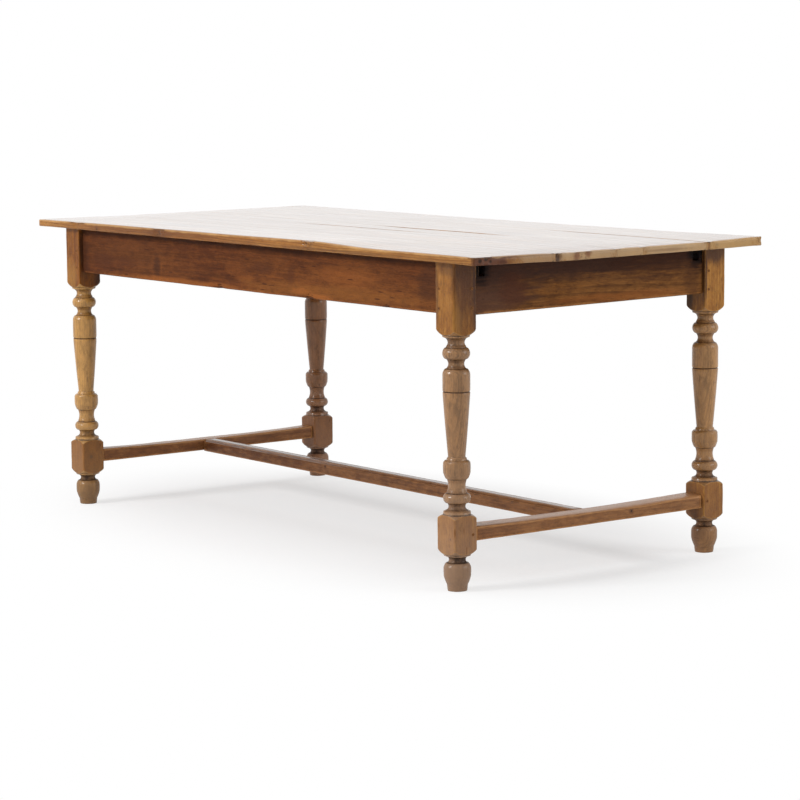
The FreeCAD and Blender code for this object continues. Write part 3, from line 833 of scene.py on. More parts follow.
# %% [markdown]
# The construction's own boxes say where the legs stand and how high they are, so the dressed pieces
# seat on them exactly. The rest are the maker's sizes.

# %% Sizes
leg_low, leg_high = [Vector(corner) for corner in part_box("leg_back_right")]
leg_x = (leg_low.x + leg_high.x) / 2
leg_y = (leg_low.y + leg_high.y) / 2
leg_half = (leg_high.x - leg_low.x) / 2
leg_head = leg_high.z
inner_leg_x = leg_x - leg_half
inner_leg_y = leg_y - leg_half
print("leg centres at", round(leg_x, 4), round(leg_y, 4), "and", leg_head, "high")

# %% [markdown]
# A leg is a square blank turned on a lathe. The lathe only cuts where it clears the blank's corners, so
# square blocks stay where rails and aprons are joined in, and they end in rounded shoulders. The
# outline is drawn as radius and height, from the floor up: beads and coves are arcs.

# %% Leg outline
turning_radius = 31 * millimetre
neck_radius = 19 * millimetre
high_neck_radius = 18 * millimetre
cove_radius = 19.6 * millimetre
fillet_radius = 22.8 * millimetre
bead_radius = 25 * millimetre
pad_foot_radius = 22.2 * millimetre
pad_head_radius = 23.6 * millimetre
corner_radius = leg_half * math.sqrt(2)
clear_radius = 52 * millimetre
shoulder_radius = (corner_radius + turning_radius) / 2 + 1.6 * millimetre
dome_radius = (turning_radius + bead_radius) / 2 + 0.8 * millimetre
line_side, line_floor = 0.9, 1.2
line_depth = 1.6 * millimetre
arc_step = 1.4 * millimetre
straight_step = 7 * millimetre


class LatheCut:
    """The outline of a turning from the floor up, as points of radius and height."""

    def __init__(self):
        self.points = [(0.0, 0.0)]

    def step(self, radius):
        self.points.append((radius, self.points[-1][1]))

    def straight(self, length, radius):
        first, foot = self.points[-1]
        count = max(1, round(length * millimetre / straight_step))
        for index in range(1, count + 1):
            share = index / count
            self.points.append((first + (radius - first) * share, foot + length * millimetre * share))

    def curve(self, length, middle, last, middle_share=0.5, step=arc_step):
        """An arc through a middle radius, in short steps."""
        first, foot = self.points[-1]
        start, through, end = [
            Vector((radius, foot + length * millimetre * share, 0))
            for radius, share in ((first, 0), (middle, middle_share), (last, 1))
        ]
        one, two = through - start, end - start
        normal = one.cross(two)
        towards = two.length_squared * normal.cross(one) + one.length_squared * two.cross(normal)
        centre = start + towards / (2 * normal.length_squared)
        arm = start - centre
        sweep = arm.angle(through - centre) + (through - centre).angle(end - centre)
        count = max(5, round(sweep * arm.length / step))
        for index in range(1, count + 1):
            turn = Matrix.Rotation(sweep * index / count * (1 if normal.z > 0 else -1), 3, "Z")
            place = centre + turn @ arm
            self.points.append((place.x, place.y))


def leg_outline(line_rise, upper_drop):
    """Pad foot, lower block, rings and cove, long taper and vase, high ring, upper block."""
    cut = LatheCut()
    # pad, bulb and ankle
    cut.step(pad_foot_radius)
    cut.straight(14.5, pad_head_radius)
    cut.curve(21, (pad_head_radius + turning_radius) / 2, turning_radius, 0.4)
    cut.straight(15.5, turning_radius)
    cut.curve(12.5, dome_radius, bead_radius, 0.6)
    cut.step(fillet_radius)
    cut.curve(14, neck_radius, bead_radius)
    cut.straight(2, turning_radius)
    cut.straight(3, turning_radius)
    # lower block, left square
    cut.curve(12, shoulder_radius, corner_radius)
    cut.step(clear_radius)
    cut.straight(68, clear_radius)
    cut.step(corner_radius)
    cut.curve(9, shoulder_radius, turning_radius)
    # collar, low neck, low ring and cove
    cut.straight(7.5, turning_radius)
    cut.straight(2, bead_radius)
    cut.curve(16, neck_radius, fillet_radius)
    cut.step(bead_radius)
    cut.curve(22, turning_radius, bead_radius)
    cut.step(fillet_radius)
    cut.straight(2.5, fillet_radius)
    cut.curve(29.5, cove_radius, fillet_radius)
    # middle ring: a slow rise, a band and a quick round
    cut.step(bead_radius)
    cut.curve(16, (bead_radius + turning_radius) / 2, turning_radius, 0.4)
    cut.straight(19, turning_radius)
    cut.curve(7, dome_radius, bead_radius, 0.6)
    cut.step(fillet_radius)
    cut.straight(4, fillet_radius)
    # taper, scribed line and vase
    cut.straight(3, cove_radius)
    taper_middle = (cove_radius + turning_radius) / 2 + 0.4 * millimetre
    half_line = line_side + line_floor / 2
    cut.curve(140.5 - half_line + line_rise, taper_middle, turning_radius, step=straight_step)
    cut.straight(line_side, turning_radius - line_depth)
    cut.straight(line_floor, turning_radius - line_depth)
    cut.straight(line_side, turning_radius)
    cut.straight(48 - half_line - line_rise - upper_drop, turning_radius)
    cut.curve(12.5, dome_radius, bead_radius, 0.6)
    # high neck, high ring, top neck and the shoulder of the upper block
    cut.step(fillet_radius)
    cut.curve(21.5, high_neck_radius, fillet_radius, 0.55)
    cut.step(bead_radius)
    cut.curve(25, turning_radius, bead_radius)
    cut.step(fillet_radius)
    cut.straight(2.5, fillet_radius)
    cut.curve(19, neck_radius, bead_radius)
    cut.straight(2, turning_radius)
    cut.straight(4, turning_radius)
    cut.curve(13, shoulder_radius, corner_radius)
    cut.step(clear_radius)
    cut.straight((leg_head - cut.points[-1][1]) / millimetre, clear_radius)
    cut.step(0.0)
    return cut.points


print("points of a leg's outline:", len(leg_outline(0, 0)))

# %% [markdown]
# The outline is extruded point by point and spun round the lathe's axis. Then the blank's four flat
# sides are brought back: each point moves in towards the axis until it lies on the blank. Where lathe
# and saw meet, the arrises of the arches come out slightly soft, as sanding leaves them.

# %% Turning a leg
spin_steps = 112
lip_round = 0.7 * millimetre
crisp_corner, soft_corner, worn_corner = 60, 26, 13
worn_below = 0.2
pad_height = 30 * millimetre
taper_foot, taper_foot_top = 290 * millimetre, 310 * millimetre
hollow_reach = 8 * millimetre
hollow_depth = 8 * millimetre
line_reach = 0.5 * millimetre
# the scribed line darkens for dirt and painted shade together
line_dirt_and_shade = 2.0
arch_softness = 0.35 * millimetre
crowding = 0.55


def turn_on_lathe(name, points, steps, ease):
    """Draw an outline with single points, spin it, and round its sharp shoulders."""
    put_down()
    bpy.ops.mesh.primitive_plane_add(size=millimetre, location=(0, 0, 0))
    piece = bpy.context.object
    piece.name = name
    work_on(piece)
    bpy.ops.mesh.select_mode(type="VERT")
    bpy.ops.mesh.select_all(action="SELECT")
    bpy.ops.mesh.merge(type="CENTER")
    for (radius, height), (next_radius, next_height) in zip(points, points[1:]):
        stroke = (next_radius - radius, 0, next_height - height)
        bpy.ops.mesh.extrude_vertices_move(TRANSFORM_OT_translate={"value": stroke})
    bpy.ops.mesh.select_all(action="SELECT")
    bpy.ops.mesh.spin(steps=steps, angle=math.tau, center=(0, 0, 0), axis=(0, 0, 1))
    bpy.ops.mesh.select_all(action="SELECT")
    bpy.ops.mesh.remove_doubles(threshold=0.02 * millimetre)
    bpy.ops.mesh.normals_make_consistent(inside=False)
    put_down()
    if ease:
        apply_modifier(piece, "BEVEL", width=ease, segments=2, limit_method="ANGLE", angle_limit=0.7)
    return piece


def blank_radius(angle, power):
    """How far the blank's side is from the axis, in a direction. A lower power rounds its corners more."""
    return leg_half / (abs(math.cos(angle)) ** power + abs(math.sin(angle)) ** power) ** (1 / power)


def open_to_cloth_and_light(height):
    """True at the pad and at the foot of the taper, where a cloth reaches in, and where the hollows are
    given no dirt and no painted shade.
    """
    return height < pad_height or taper_foot < height < taper_foot_top


def hollowness(points, radius, height):
    """How deep a turned place lies below the parts just above and below it, from 0 to 1."""
    if open_to_cloth_and_light(height):
        return 0.0
    near = [min(r, turning_radius) for r, z in points if abs(z - height) < hollow_reach]
    return max(0.0, min(1.0, (max(near, default=radius) - radius) / hollow_depth)) ** 1.4


def plane_flats(piece, points, worn_quarter):
    """Bring back the blank's sides, and note what the lathe has cut and how deep it lies. The corner in
    the worn quarter, if there is one, is rounder than the others."""
    turned = []
    hollows = []
    line = [z for r, z in points if abs(r - turning_radius + line_depth) < 1e-6]

    def to_blank(point):
        radius = math.hypot(point.x, point.y)
        if radius < neck_radius / 2:
            turned.append(0.0)
            hollows.append(0.0)
            return point
        angle = math.atan2(point.y, point.x)
        angle -= crowding / 4 * math.sin(4 * (angle - math.pi / 4))
        power = soft_corner if point.z < worn_below else crisp_corner
        if worn_quarter and point.x * worn_quarter[0] > 0 and point.y * worn_quarter[1] > 0:
            power = worn_corner
        flat = blank_radius(angle, power)
        near, far = sorted((radius, flat))
        soft = near - arch_softness * math.log(1 + math.exp((near - far) / arch_softness))
        turned.append(1.0 if radius < flat else 0.0)
        on_line = any(abs(point.z - z) < line_reach for z in line)
        hollows.append(line_dirt_and_shade if on_line else hollowness(points, radius, point.z))
        return (soft * math.cos(angle), soft * math.sin(angle), point.z)

    shift(piece, to_blank)
    store(piece, "turning", turned)
    store(piece, "hollow", hollows)
    work_on(piece)
    bpy.ops.mesh.select_all(action="SELECT")
    bpy.ops.mesh.remove_doubles(threshold=0.05 * millimetre)
    put_down()


def make_leg(name, line_rise, upper_drop, worn_quarter=None):
    points = leg_outline(line_rise, upper_drop)
    piece = turn_on_lathe(name, points, spin_steps, lip_round)
    plane_flats(piece, points, worn_quarter)
    return piece


# %% [markdown]
# The legs are honey brown: warm and waxed on the flats of the blocks, scrubbed paler and greyer where
# they were turned, and dark in the coves, for dirt and painted shade. Each leg's block and turned tones
# are made lighter or darker to paint the light it stands in. Its marks in the colour shaded are painted
# shade under the top, beside the aprons and on the sides turned from the light, and its other marks come
# from its own chair. The front right leg was turned a little differently.

# %% Leg colours and marks
honey = ((0.50, 0.25, 0.072), (0.31, 0.125, 0.027), (0.16, 0.056, 0.014))
scrubbed_honey = (0.42, 0.235, 0.105)
# colour in the coves: dirt and painted shade together
hollow_dirt_and_shade = (0.115, 0.048, 0.018)
tool_mark_depth = 1.6
# shaded: the colour of painted shade, laid where the top and the aprons shade the wood and on faces turned
# from the light
shaded = (0.050, 0.018, 0.009)
pith_offset = Vector((-0.03, 0.055, 0))
no_change = (0, 0)
odd_turning = (4.5, 5.5)


def toned(colours, tone):
    """A palette made darker or warmer, by one factor per channel."""
    return tuple(tuple(part * factor for part, factor in zip(colour, tone)) for colour in colours)


def leg_look(side, block, turned, low, knots, stains, turning=no_change):
    """What one leg has of its own: where it stands; the tones of its blocks and of its turned lengths,
    which paint the light it stands in; the tone of its foot; and its knots, stain marks and painted shade,
    placed from its axis at the floor."""
    return SimpleNamespace(
        side=side, block=block, turned=turned, low=low, knots=knots, stains=stains, turning=turning,
    )


# block and turned are tones that paint each leg's light; rows in the colour shaded are painted shade
legs = {
    "leg_front_left": leg_look(
        (-1, -1), block=(0.64, 0.48, 0.20), turned=(1.21, 1.12, 0.68), low=(0.33, 0.185, 0.082),
        knots=(((0.032, -0.008, 0.128), 0.006),),
        stains=(
            ((0.032, -0.017, 0.672), (0.006, 0.018, 0.08), shaded, 0.8),
            ((0.034, 0.030, 0.60), (0.02, 0.022, 0.05), shaded, 0.85),
            ((-0.016, -0.032, 0.60), (0.04, 0.012, 0.06), (0.46, 0.25, 0.06), 0.25),
            ((0, 0, 0.015), (0.08, 0.08, 0.09), (0.048, 0.018, 0.006), 0.93),
        ),
    ),
    "leg_front_right": leg_look(
        (1, -1), block=(0.92, 0.88, 0.66), turned=(0.86, 0.80, 0.74), low=(0.37, 0.235, 0.150),
        knots=(((0.032, 0.015, 0.64), 0.003), ((0.016, -0.032, 0.12), 0.003)),
        stains=(
            ((0.038, 0.005, 0.70), (0.018, 0.06, 0.13), shaded, 0.85),
            ((0.038, 0.005, 0.64), (0.018, 0.05, 0.10), (0.11, 0.036, 0.008), 0.55),
            ((0.032, 0.030, 0.66), (0.012, 0.012, 0.14), shaded, 0.8),
            ((0.032, -0.025, 0.60), (0.012, 0.03, 0.05), (0.30, 0.14, 0.030), 0.5),
            ((0.032, -0.009, 0.66), (0.012, 0.007, 0.10), (0.10, 0.034, 0.010), 0.5),
            ((0.016, -0.032, 0.715), (0.05, 0.012, 0.02), shaded, 0.5),
            ((-0.027, -0.032, 0.66), (0.008, 0.012, 0.10), shaded, 0.5),
            ((0, 0, 0.015), (0.08, 0.08, 0.085), (0.075, 0.030, 0.010), 0.72),
        ),
        turning=odd_turning,
    ),
    "leg_back_left": leg_look(
        (-1, 1), block=(0.56, 0.46, 0.40), turned=(0.60, 0.45, 0.36), low=(0.34, 0.19, 0.115),
        knots=(((0.032, -0.005, 0.66), 0.005),),
        stains=(((0.014, -0.015, 0.70), (0.05, 0.05, 0.10), shaded, 0.6),),
    ),
    "leg_back_right": leg_look(
        (1, 1), block=(1.22, 1.22, 0.86), turned=(1.12, 1.03, 0.82), low=(0.22, 0.11, 0.058),
        knots=(((0.016, -0.032, 0.13), 0.005),),
        stains=(
            ((0.006, -0.034, 0.66), (0.06, 0.012, 0.14), shaded, 0.55),
            ((-0.027, -0.032, 0.60), (0.022, 0.012, 0.06), age_colour, 0.8),
            ((0.032, 0.005, 0.715), (0.012, 0.06, 0.035), shaded, 0.8),
            ((0.032, -0.031, 0.66), (0.012, 0.008, 0.10), shaded, 0.8),
            ((-0.019, -0.035, 0.06), (0.05, 0.036, 0.15), shaded, 0.75),
        ),
    ),
}
print("stains on the legs:", sum(len(look.stains) for look in legs.values()))

# %% [markdown]
# Two legs are turned, a usual one and the odd one with its rounder outer corner. Each is copied to its
# place, aged there and given its own finish, so that grain, dents and dirt differ from leg to leg.

# %% Legs
leg_waves, leg_dents = 0.0004, 0.0012
turned_share, crease_share = 0.6, 0.2
usual_leg = make_leg("usual_leg", *no_change)
odd_leg = make_leg("odd_leg", *odd_turning, (1, -1))
for name, look in legs.items():
    model = odd_leg if look.turning is odd_turning else usual_leg
    axis = Vector((look.side[0] * leg_x, look.side[1] * leg_y, 0))
    piece = duplicate(model, name + "_turned", axis)
    age(piece, leg_waves, leg_dents)
    turned = [item.value for item in piece.data.attributes["turning"].data]

    def worn(vertex, value):
        """Turned shoulders are rubbed less than arrises, and the open creases get less dirt and painted
        shade.
        """
        if value > 0:
            return value * (1 - turned_share * turned[vertex.index])
        return value * crease_share if open_to_cloth_and_light(vertex.co.z) else value

    mark_edges(piece, worn)
    smooth(piece, degrees=40)
    pith = axis + Vector((look.side[0] * pith_offset.x, pith_offset.y, 0))
    finish = wood(
        name + "_wood", toned(honey, look.block), "Z", pith, ring_width=0.0042, ring_strength=0.6,
        streak_strength=0.5, mottle=0.45, flecks=0.9, end_dark=0.3,
        turned=(*toned((scrubbed_honey, hollow_dirt_and_shade), look.turned), tool_mark_depth),
        knots=[(axis + Vector(place), size) for place, size in look.knots],
        stains=[(axis + Vector(place), *others) for place, *others in look.stains],
        low_tone=look.low, rubbed=0.4, grime=0.9, scratched=0.05, wax=0.6, wax_roughness=0.2, polish=0.15,
    )
    register(piece, "leg_wood", finish, name)
bpy.data.objects.remove(usual_leg)
bpy.data.objects.remove(odd_leg)

# %% [markdown]
# The top is five boards. Each is one sawn timber with close cuts, so its upper face can follow the
# warp of its outer edge. The loose ends past the aprons have dropped a little in the middle of the
# table and curled up at the back.

# %% Board shapes
board_foot = leg_head
board_head = leg_head + 0.018
table_half_length = 0.915
end_apron_face = 0.8075
board_step, board_across_step = 0.0122, 0.0105
board_ease = 0.0022
seam = 0.0006
corner_round = 0.007
warp_edge = 0.432
lip_reach, lip_run = 0.03, 0.12
slow_swell, swell_depth = 5, 0.0006
left_end_share = 0.6
front_warp = ((-0.5, 0.0), (-0.25, 0.12), (0.0, 0.19), (0.17, 0.3), (0.31, -0.04), (0.5, 0.0))
back_warp = ((-0.5, 0.0), (0.0, -0.05), (0.3, 0.03), (0.5, 0.2))
end_drop = (
    (-0.432, -0.0008), (-0.30, -0.0019), (-0.157, -0.0038), (-0.07, -0.003), (0.11, -0.002),
    (0.27, -0.001), (0.432, 0.0006),
)


def read_stops(stops, value):
    """Read a smooth line through stops of (place, height)."""
    for (first, low), (second, high) in zip(stops, stops[1:]):
        if value <= second:
            share = max(0.0, (value - first) / (second - first))
            share = share * share * (3 - 2 * share)
            return low + (high - low) * share
    return stops[-1][1]


def share_up(point):
    """How far up the board's thickness a point lies: 0 at its foot, 1 at its head."""
    return max(0.0, (point.z - board_foot) / (board_head - board_foot))


def make_board(name, front, back, warp, lip):
    """A board between two lines. Its upper face rises towards the warped outer edge, if it has one, and
    its front arris lifts into a lip, given as (start, end, height), if it has one."""
    outer = warp_edge if warp is back_warp else -warp_edge
    inner = back if outer == front else front

    def outer_upright(edge):
        return warp is not None and abs(edge.verts[0].co.y - outer) < millimetre

    def at_seam(edge):
        lines = [line for line in (front, back) if abs(line) < warp_edge - millimetre]
        return any(abs(vertex.co.y - line) < millimetre for vertex in edge.verts for line in lines)

    piece = timber(
        name, (-table_half_length, front, board_foot), (table_half_length, back, board_head),
        board_step, board_ease, board_across_step, corner=(corner_round, outer_upright), tight=at_seam,
    )

    def bend(point):
        if warp is not None:
            rise = read_stops(warp, point.x / (2 * table_half_length)) * (board_head - board_foot)
            across = max(0.0, min(1.0, (point.y - inner) / (outer - inner)))
            point.z += rise * across * share_up(point)
        if lip and point.z > board_head - millimetre:
            start, end, lip_height = lip
            stretch = min(1.0, max(0.0, (point.x - start) / lip_run), max(0.0, (end - point.x) / lip_run))
            point.z += lip_height * stretch * math.exp((front - point.y) / lip_reach)
        swell = 0.5 + 0.5 * noise.noise(Vector((point.x, point.y, 0)) * slow_swell)
        point.z -= swell_depth * swell * share_up(point)
        past = max(0.0, abs(point.x) - end_apron_face) / (table_half_length - end_apron_face)
        point.z += read_stops(end_drop, point.y) * past ** 1.5 * (1 if point.x > 0 else left_end_share)
        return point

    shift(piece, bend)
    return piece


# %% [markdown]
# The top was scrubbed, waxed and worked on for years. Its upper face is reddish brown with worn lighter
# paths along the grain, and its edges and its underside are honey, with hardly any wax. Darker patches
# are where something was spilt. The wax makes the top shine like still water when it is seen at a low
# angle.

# %% Board colours and marks
# the rubbed colour is worn pale wood, made bright enough to paint the highlight along the upper arrises too
top_colours = ((0.60, 0.36, 0.15), (0.32, 0.135, 0.040), (0.15, 0.055, 0.018))
edge_tone = (0.98, 0.88, 0.56)
dark_drink = (0.075, 0.024, 0.010)
red_heart = (0.16, 0.045, 0.014)
dry_end = (0.57, 0.41, 0.235)
trodden = (0.50, 0.235, 0.078)
mark_depth, dent_mark_depth, top_mark_depth = 0.012, 0.008, 0.02


def on_end(y, z, reach_y, reach_z, colour, strength):
    """A stain on the right end of a board."""
    return (table_half_length, y, z), (mark_depth, reach_y, reach_z), colour, strength


def in_dent(y, z, reach_y, reach_z):
    """Old dirt in a dent of the right end."""
    return (table_half_length, y, z), (dent_mark_depth, reach_y, reach_z), age_colour, 0.9


def on_edge(x, z, reach_x, reach_z, colour, strength):
    """A stain on the front edge of the table."""
    return (x, -warp_edge, z), (reach_x, mark_depth, reach_z), colour, strength


def on_top(x, y, reach_x, reach_y, colour, strength):
    """A stain on the upper face."""
    return (x, y, board_head), (reach_x, reach_y, top_mark_depth), colour, strength


board_stains = {
    "top_board_front": (
        on_end(-0.24, 0.741, 0.09, 0.03, dry_end, 0.38),
        on_end(-0.385, 0.740, 0.080, 0.03, (0.110, 0.038, 0.020), 0.95),
        in_dent(-0.412, 0.741, 0.006, 0.006),
        in_dent(-0.395, 0.744, 0.007, 0.005),
        in_dent(-0.383, 0.739, 0.005, 0.005),
        on_end(-0.350, 0.736, 0.012, 0.006, dark_drink, 0.8),
        on_end(-0.285, 0.7475, 0.10, 0.0045, dark_drink, 0.3),
        on_edge(-0.42, 0.744, 0.42, 0.012, (0.13, 0.045, 0.013), 0.75),
        on_top(0.30, -0.36, 0.55, 0.030, trodden, 0.45),
        on_top(0.15, -0.27, 0.40, 0.020, trodden, 0.35),
        on_top(-0.40, -0.37, 0.45, 0.030, trodden, 0.45),
        on_edge(-0.33, 0.742, 0.07, 0.02, dark_drink, 0.3),
        on_edge(0.45, 0.737, 0.30, 0.004, dark_drink, 0.5),
        on_top(-0.45, -0.30, 0.22, 0.03, dark_drink, 0.5),
        on_top(0.05, -0.25, 0.30, 0.02, dark_drink, 0.5),
    ),
    "top_board_front_inner": (
        on_end(-0.10, 0.741, 0.15, 0.03, dry_end, 0.5),
        on_end(-0.199, 0.739, 0.020, 0.014, dark_drink, 0.75),
        on_end(-0.138, 0.738, 0.016, 0.014, red_heart, 0.7),
        on_end(-0.104, 0.742, 0.012, 0.010, red_heart, 0.7),
        on_top(0.45, -0.13, 0.40, 0.030, trodden, 0.45),
        on_top(0.25, -0.06, 0.30, 0.02, dark_drink, 0.5),
    ),
    "top_strip_middle": (
        on_end(0.02, 0.741, 0.09, 0.03, dry_end, 0.52),
        on_top(0.2, 0.02, 0.3, 0.03, dark_drink, 0.4),
    ),
    "top_board_back_inner": (
        on_end(0.16, 0.741, 0.18, 0.03, dry_end, 0.56),
        on_end(0.13, 0.738, 0.10, 0.004, dark_drink, 0.3),
        on_top(0.4, 0.1, 0.16, 0.05, dark_drink, 0.35),
    ),
    "top_board_back": (
        on_end(0.34, 0.742, 0.13, 0.03, (0.60, 0.40, 0.18), 0.52),
        on_end(0.262, 0.742, 0.005, 0.014, red_heart, 0.5),
    ),
}
board_knots = {
    "top_board_front": (((-0.62, -0.432, 0.739), 0.005), ((0.62, -0.4, 0.75), 0.006)),
    "top_board_front_inner": (
        ((0.915, -0.199, 0.739), 0.004), ((0.915, -0.141, 0.738), 0.004), ((0.915, -0.106, 0.741), 0.003),
    ),
    "top_strip_middle": (((-0.4, 0.02, 0.75), 0.008),),
    "top_board_back_inner": (((0.62, 0.16, 0.75), 0.009), ((-0.1, 0.2, 0.75), 0.012)),
    "top_board_back": (((0.915, 0.286, 0.742), 0.003), ((-0.55, 0.33, 0.75), 0.01)),
}
print("stains on the boards:", sum(len(stains) for stains in board_stains.values()))

# %% [markdown]
# Three of the boards are bitten where something struck them: at the corners, along the front edge and
# on the right end. All arrises are dented by age, except along the seams, where the next board shields
# them.

# %% Boards
board_dents = 0.0012
seam_reach = 0.0012
upper_band, lower_share = 0.004, 0.45
pith_step, pith_height = 0.03, 0.66
boards = {
    "top_board_front": (-0.432, -0.200, front_warp, None),
    "top_board_front_inner": (-0.200, -0.020, None, None),
    "top_strip_middle": (-0.020, 0.058, None, (-0.33, 0.24, 0.0004)),
    "top_board_back_inner": (0.058, 0.255, None, (-0.10, 0.46, 0.0007)),
    "top_board_back": (0.255, 0.432, back_warp, (0.32, 1.1, 0.0004)),
}
board_bites = {
    "top_board_front": (
        ((0.312, -0.432, 0.7525), 0.020, 0.0030, (0, 1, -1)),
        ((0.296, -0.432, 0.7505), 0.010, 0.0035, (0, 1, -0.5)),
        ((0.913, -0.418, 0.740), 0.012, 0.0016, (-1, 0.5, 0)),
        ((0.915, -0.395, 0.742), 0.012, 0.0016, (-1, 0, 0)),
        ((-0.33, -0.432, 0.737), 0.018, 0.0022, (0, 1, 0.4)),
        ((-0.72, -0.432, 0.749), 0.020, 0.0020, (0, 1, -1)),
    ),
    "top_board_front_inner": (
        ((0.915, -0.195, 0.739), 0.010, 0.0030, (-1, 0, 0)),
        ((0.915, -0.120, 0.738), 0.016, 0.0022, (-1, 0, 0)),
    ),
    "top_board_back": (
        ((0.915, 0.260, 0.742), 0.010, 0.0015, (-1, 0, 0)),
        ((0.915, 0.425, 0.745), 0.010, 0.0030, (-1, -1, 0)),
    ),
}
for index, (name, (front, back, warp, lip)) in enumerate(boards.items()):
    front_line = front if warp is front_warp else front + seam / 2
    back_line = back if warp is back_warp else back - seam / 2
    piece = make_board(name + "_plank", front_line, back_line, warp, lip)
    for place, reach, depth, direction in board_bites.get(name, ()):
        bite(piece, place, reach, depth, direction)
    seams = [line for line in (front, back) if abs(line) < warp_edge]

    def by_seam(place):
        return min(abs(place.y - line) for line in seams) < seam_reach

    def worn(vertex, value):
        """Seams are never rubbed, lower arrises hardly."""
        if by_seam(vertex.co):
            return 0.0
        return value if vertex.co.z > board_head - upper_band else value * lower_share

    age(piece, 0, board_dents, by_seam)
    mark_edges(piece, worn)
    smooth(piece)
    pith = (0, (front + back) / 2 + pith_step * (index - 2), pith_height)
    finish = wood(
        name + "_wood", top_colours, "X", pith, ring_width=0.005, wander=0.045, ring_strength=0.85,
        streak_strength=0.8, mottle=0.18, flecks=0.4, knots=board_knots[name], stains=board_stains[name],
        roughness=0.25, polish=0.12, wax=1.0, side_wax=0.03, wax_roughness=0.07, wax_gloss=1.8,
        side_tone=edge_tone, rubbed=0.45, scratched=0.05, end_dark=0.1, figure_depth=0.28,
    )
    register(piece, "top_wood", finish, name)

# %% [markdown]
# An apron is a wide board on edge between two legs, tenoned into them. Its lower outer arris is worn by
# knees. The end aprons and the bearers have a notch near each leg, where the arm of an extra leaf would
# slide in, so one helper saws the notches of both.

# %% Apron helpers
apron_foot = 0.614
apron_step, apron_ease = 0.012, 0.0012
apron_waves, apron_dents = 0.0005, 0.0010
worn_arris, arris_reach, arris_noise = 0.003, 0.006, 9
notch_span = (0.313, 0.330)
notch_foot = 0.697
notch_rim, joint_rim = 0.003, 0.004
saw_margin = 0.01
apron_mark_depth = 0.03
orange_wood = (0.30, 0.095, 0.022)
patina_and_shade = (0.052, 0.024, 0.0165)


def wear_lower_arris(piece, axis, outer):
    """Round the lower outer arris more than the others."""

    def worn(point):
        low = max(0.0, 1 - (point.z - apron_foot) / arris_reach)
        near = max(0.0, 1 - abs(point[axis] - outer) / arris_reach)
        uneven = 0.7 + 0.6 * noise.noise(point * arris_noise)
        point.z += worn_arris * low * near * uneven
        return point

    shift(piece, worn)


def cut_arm_notches(piece, low_x, high_x):
    """Saw the two notches for a leaf's arms, down from the upper edge."""
    for side in (-1, 1):
        low_y, high_y = sorted(side * place for place in notch_span)
        low = (low_x - saw_margin, low_y, notch_foot)
        high = (high_x + saw_margin, high_y, leg_head + saw_margin)
        cut_out(piece, low, high)


def finish_apron(piece, name, colours, grain, pith, **values):
    """The painted shade in the notches stays dark, and the ends against the legs clean, so no arris is
    rubbed there.
    """
    along, joint = (0, inner_leg_x) if grain == "X" else (1, inner_leg_y)

    def sheltered(vertex, value):
        place = vertex.co
        at_joint = abs(place[along]) > joint - joint_rim
        beside_notch = abs(place.y) > notch_span[0] - notch_rim
        at_notch = grain == "Y" and beside_notch and place.z > notch_foot - notch_rim
        return 0.0 if at_joint or at_notch else value

    age(piece, apron_waves, apron_dents)
    mark_edges(piece, sheltered)
    smooth(piece)
    finish = wood(
        name + "_wood", colours, grain, pith, roughness=0.5, polish=0.05, wax=0.0, scratched=0.03, **values,
    )
    register(piece, "apron_wood", finish, name)


# %% [markdown]
# The long aprons are dark red brown, nearly black under the top, where the top's shadow is painted on,
# with orange streaks where knees have rubbed through the old polish. Three chips are broken out of the
# lower arris.

# %% Long aprons
long_apron_faces = (0.3735, 0.3955)
apron_colours = ((0.25, 0.085, 0.020), (0.125, 0.034, 0.0085), (0.046, 0.0145, 0.0070))
# the first row is the top's painted shadow along the upper edge; the rows in the colour shaded by the legs
# are painted shade
apron_marks = (
    (0.0, 0.73, 2.0, 0.016, shaded, 0.85),
    (-0.394, 0.655, 0.020, 0.035, shaded, 0.7),
    (-0.374, 0.650, 0.006, 0.025, orange_wood, 0.12),
    (-0.519, 0.700, 0.05, 0.018, orange_wood, 0.12),
    (-0.049, 0.669, 0.05, 0.022, orange_wood, 0.15),
    (-0.003, 0.648, 0.07, 0.012, orange_wood, 0.2),
    (-0.55, 0.68, 0.30, 0.06, shaded, 0.3),
    (0.38, 0.636, 0.45, 0.022, (0.24, 0.088, 0.020), 0.45),
    (0.229, 0.631, 0.05, 0.010, orange_wood, 0.5),
    (0.304, 0.620, 0.06, 0.009, orange_wood, 0.6),
    (-0.30, 0.622, 0.35, 0.009, orange_wood, 0.5),
    (0.40, 0.675, 0.14, 0.030, orange_wood, 0.3),
    (-0.652, 0.654, 0.06, 0.020, dark_drink, 0.6),
    (0.069, 0.678, 0.06, 0.016, dark_drink, 0.6),
    (0.189, 0.664, 0.02, 0.030, dark_drink, 0.5),
    (0.711, 0.680, 0.05, 0.060, shaded, 0.6),
    (-0.745, 0.66, 0.03, 0.10, shaded, 0.7),
)
apron_chips = ((-0.113, 0.016, 0.0055), (0.262, 0.018, 0.0055), (0.56, 0.012, 0.0035))
apron_nicks = ((0.11, 0.624, 0.0035), (0.208, 0.637, 0.0035), (0.62, 0.633, 0.003))
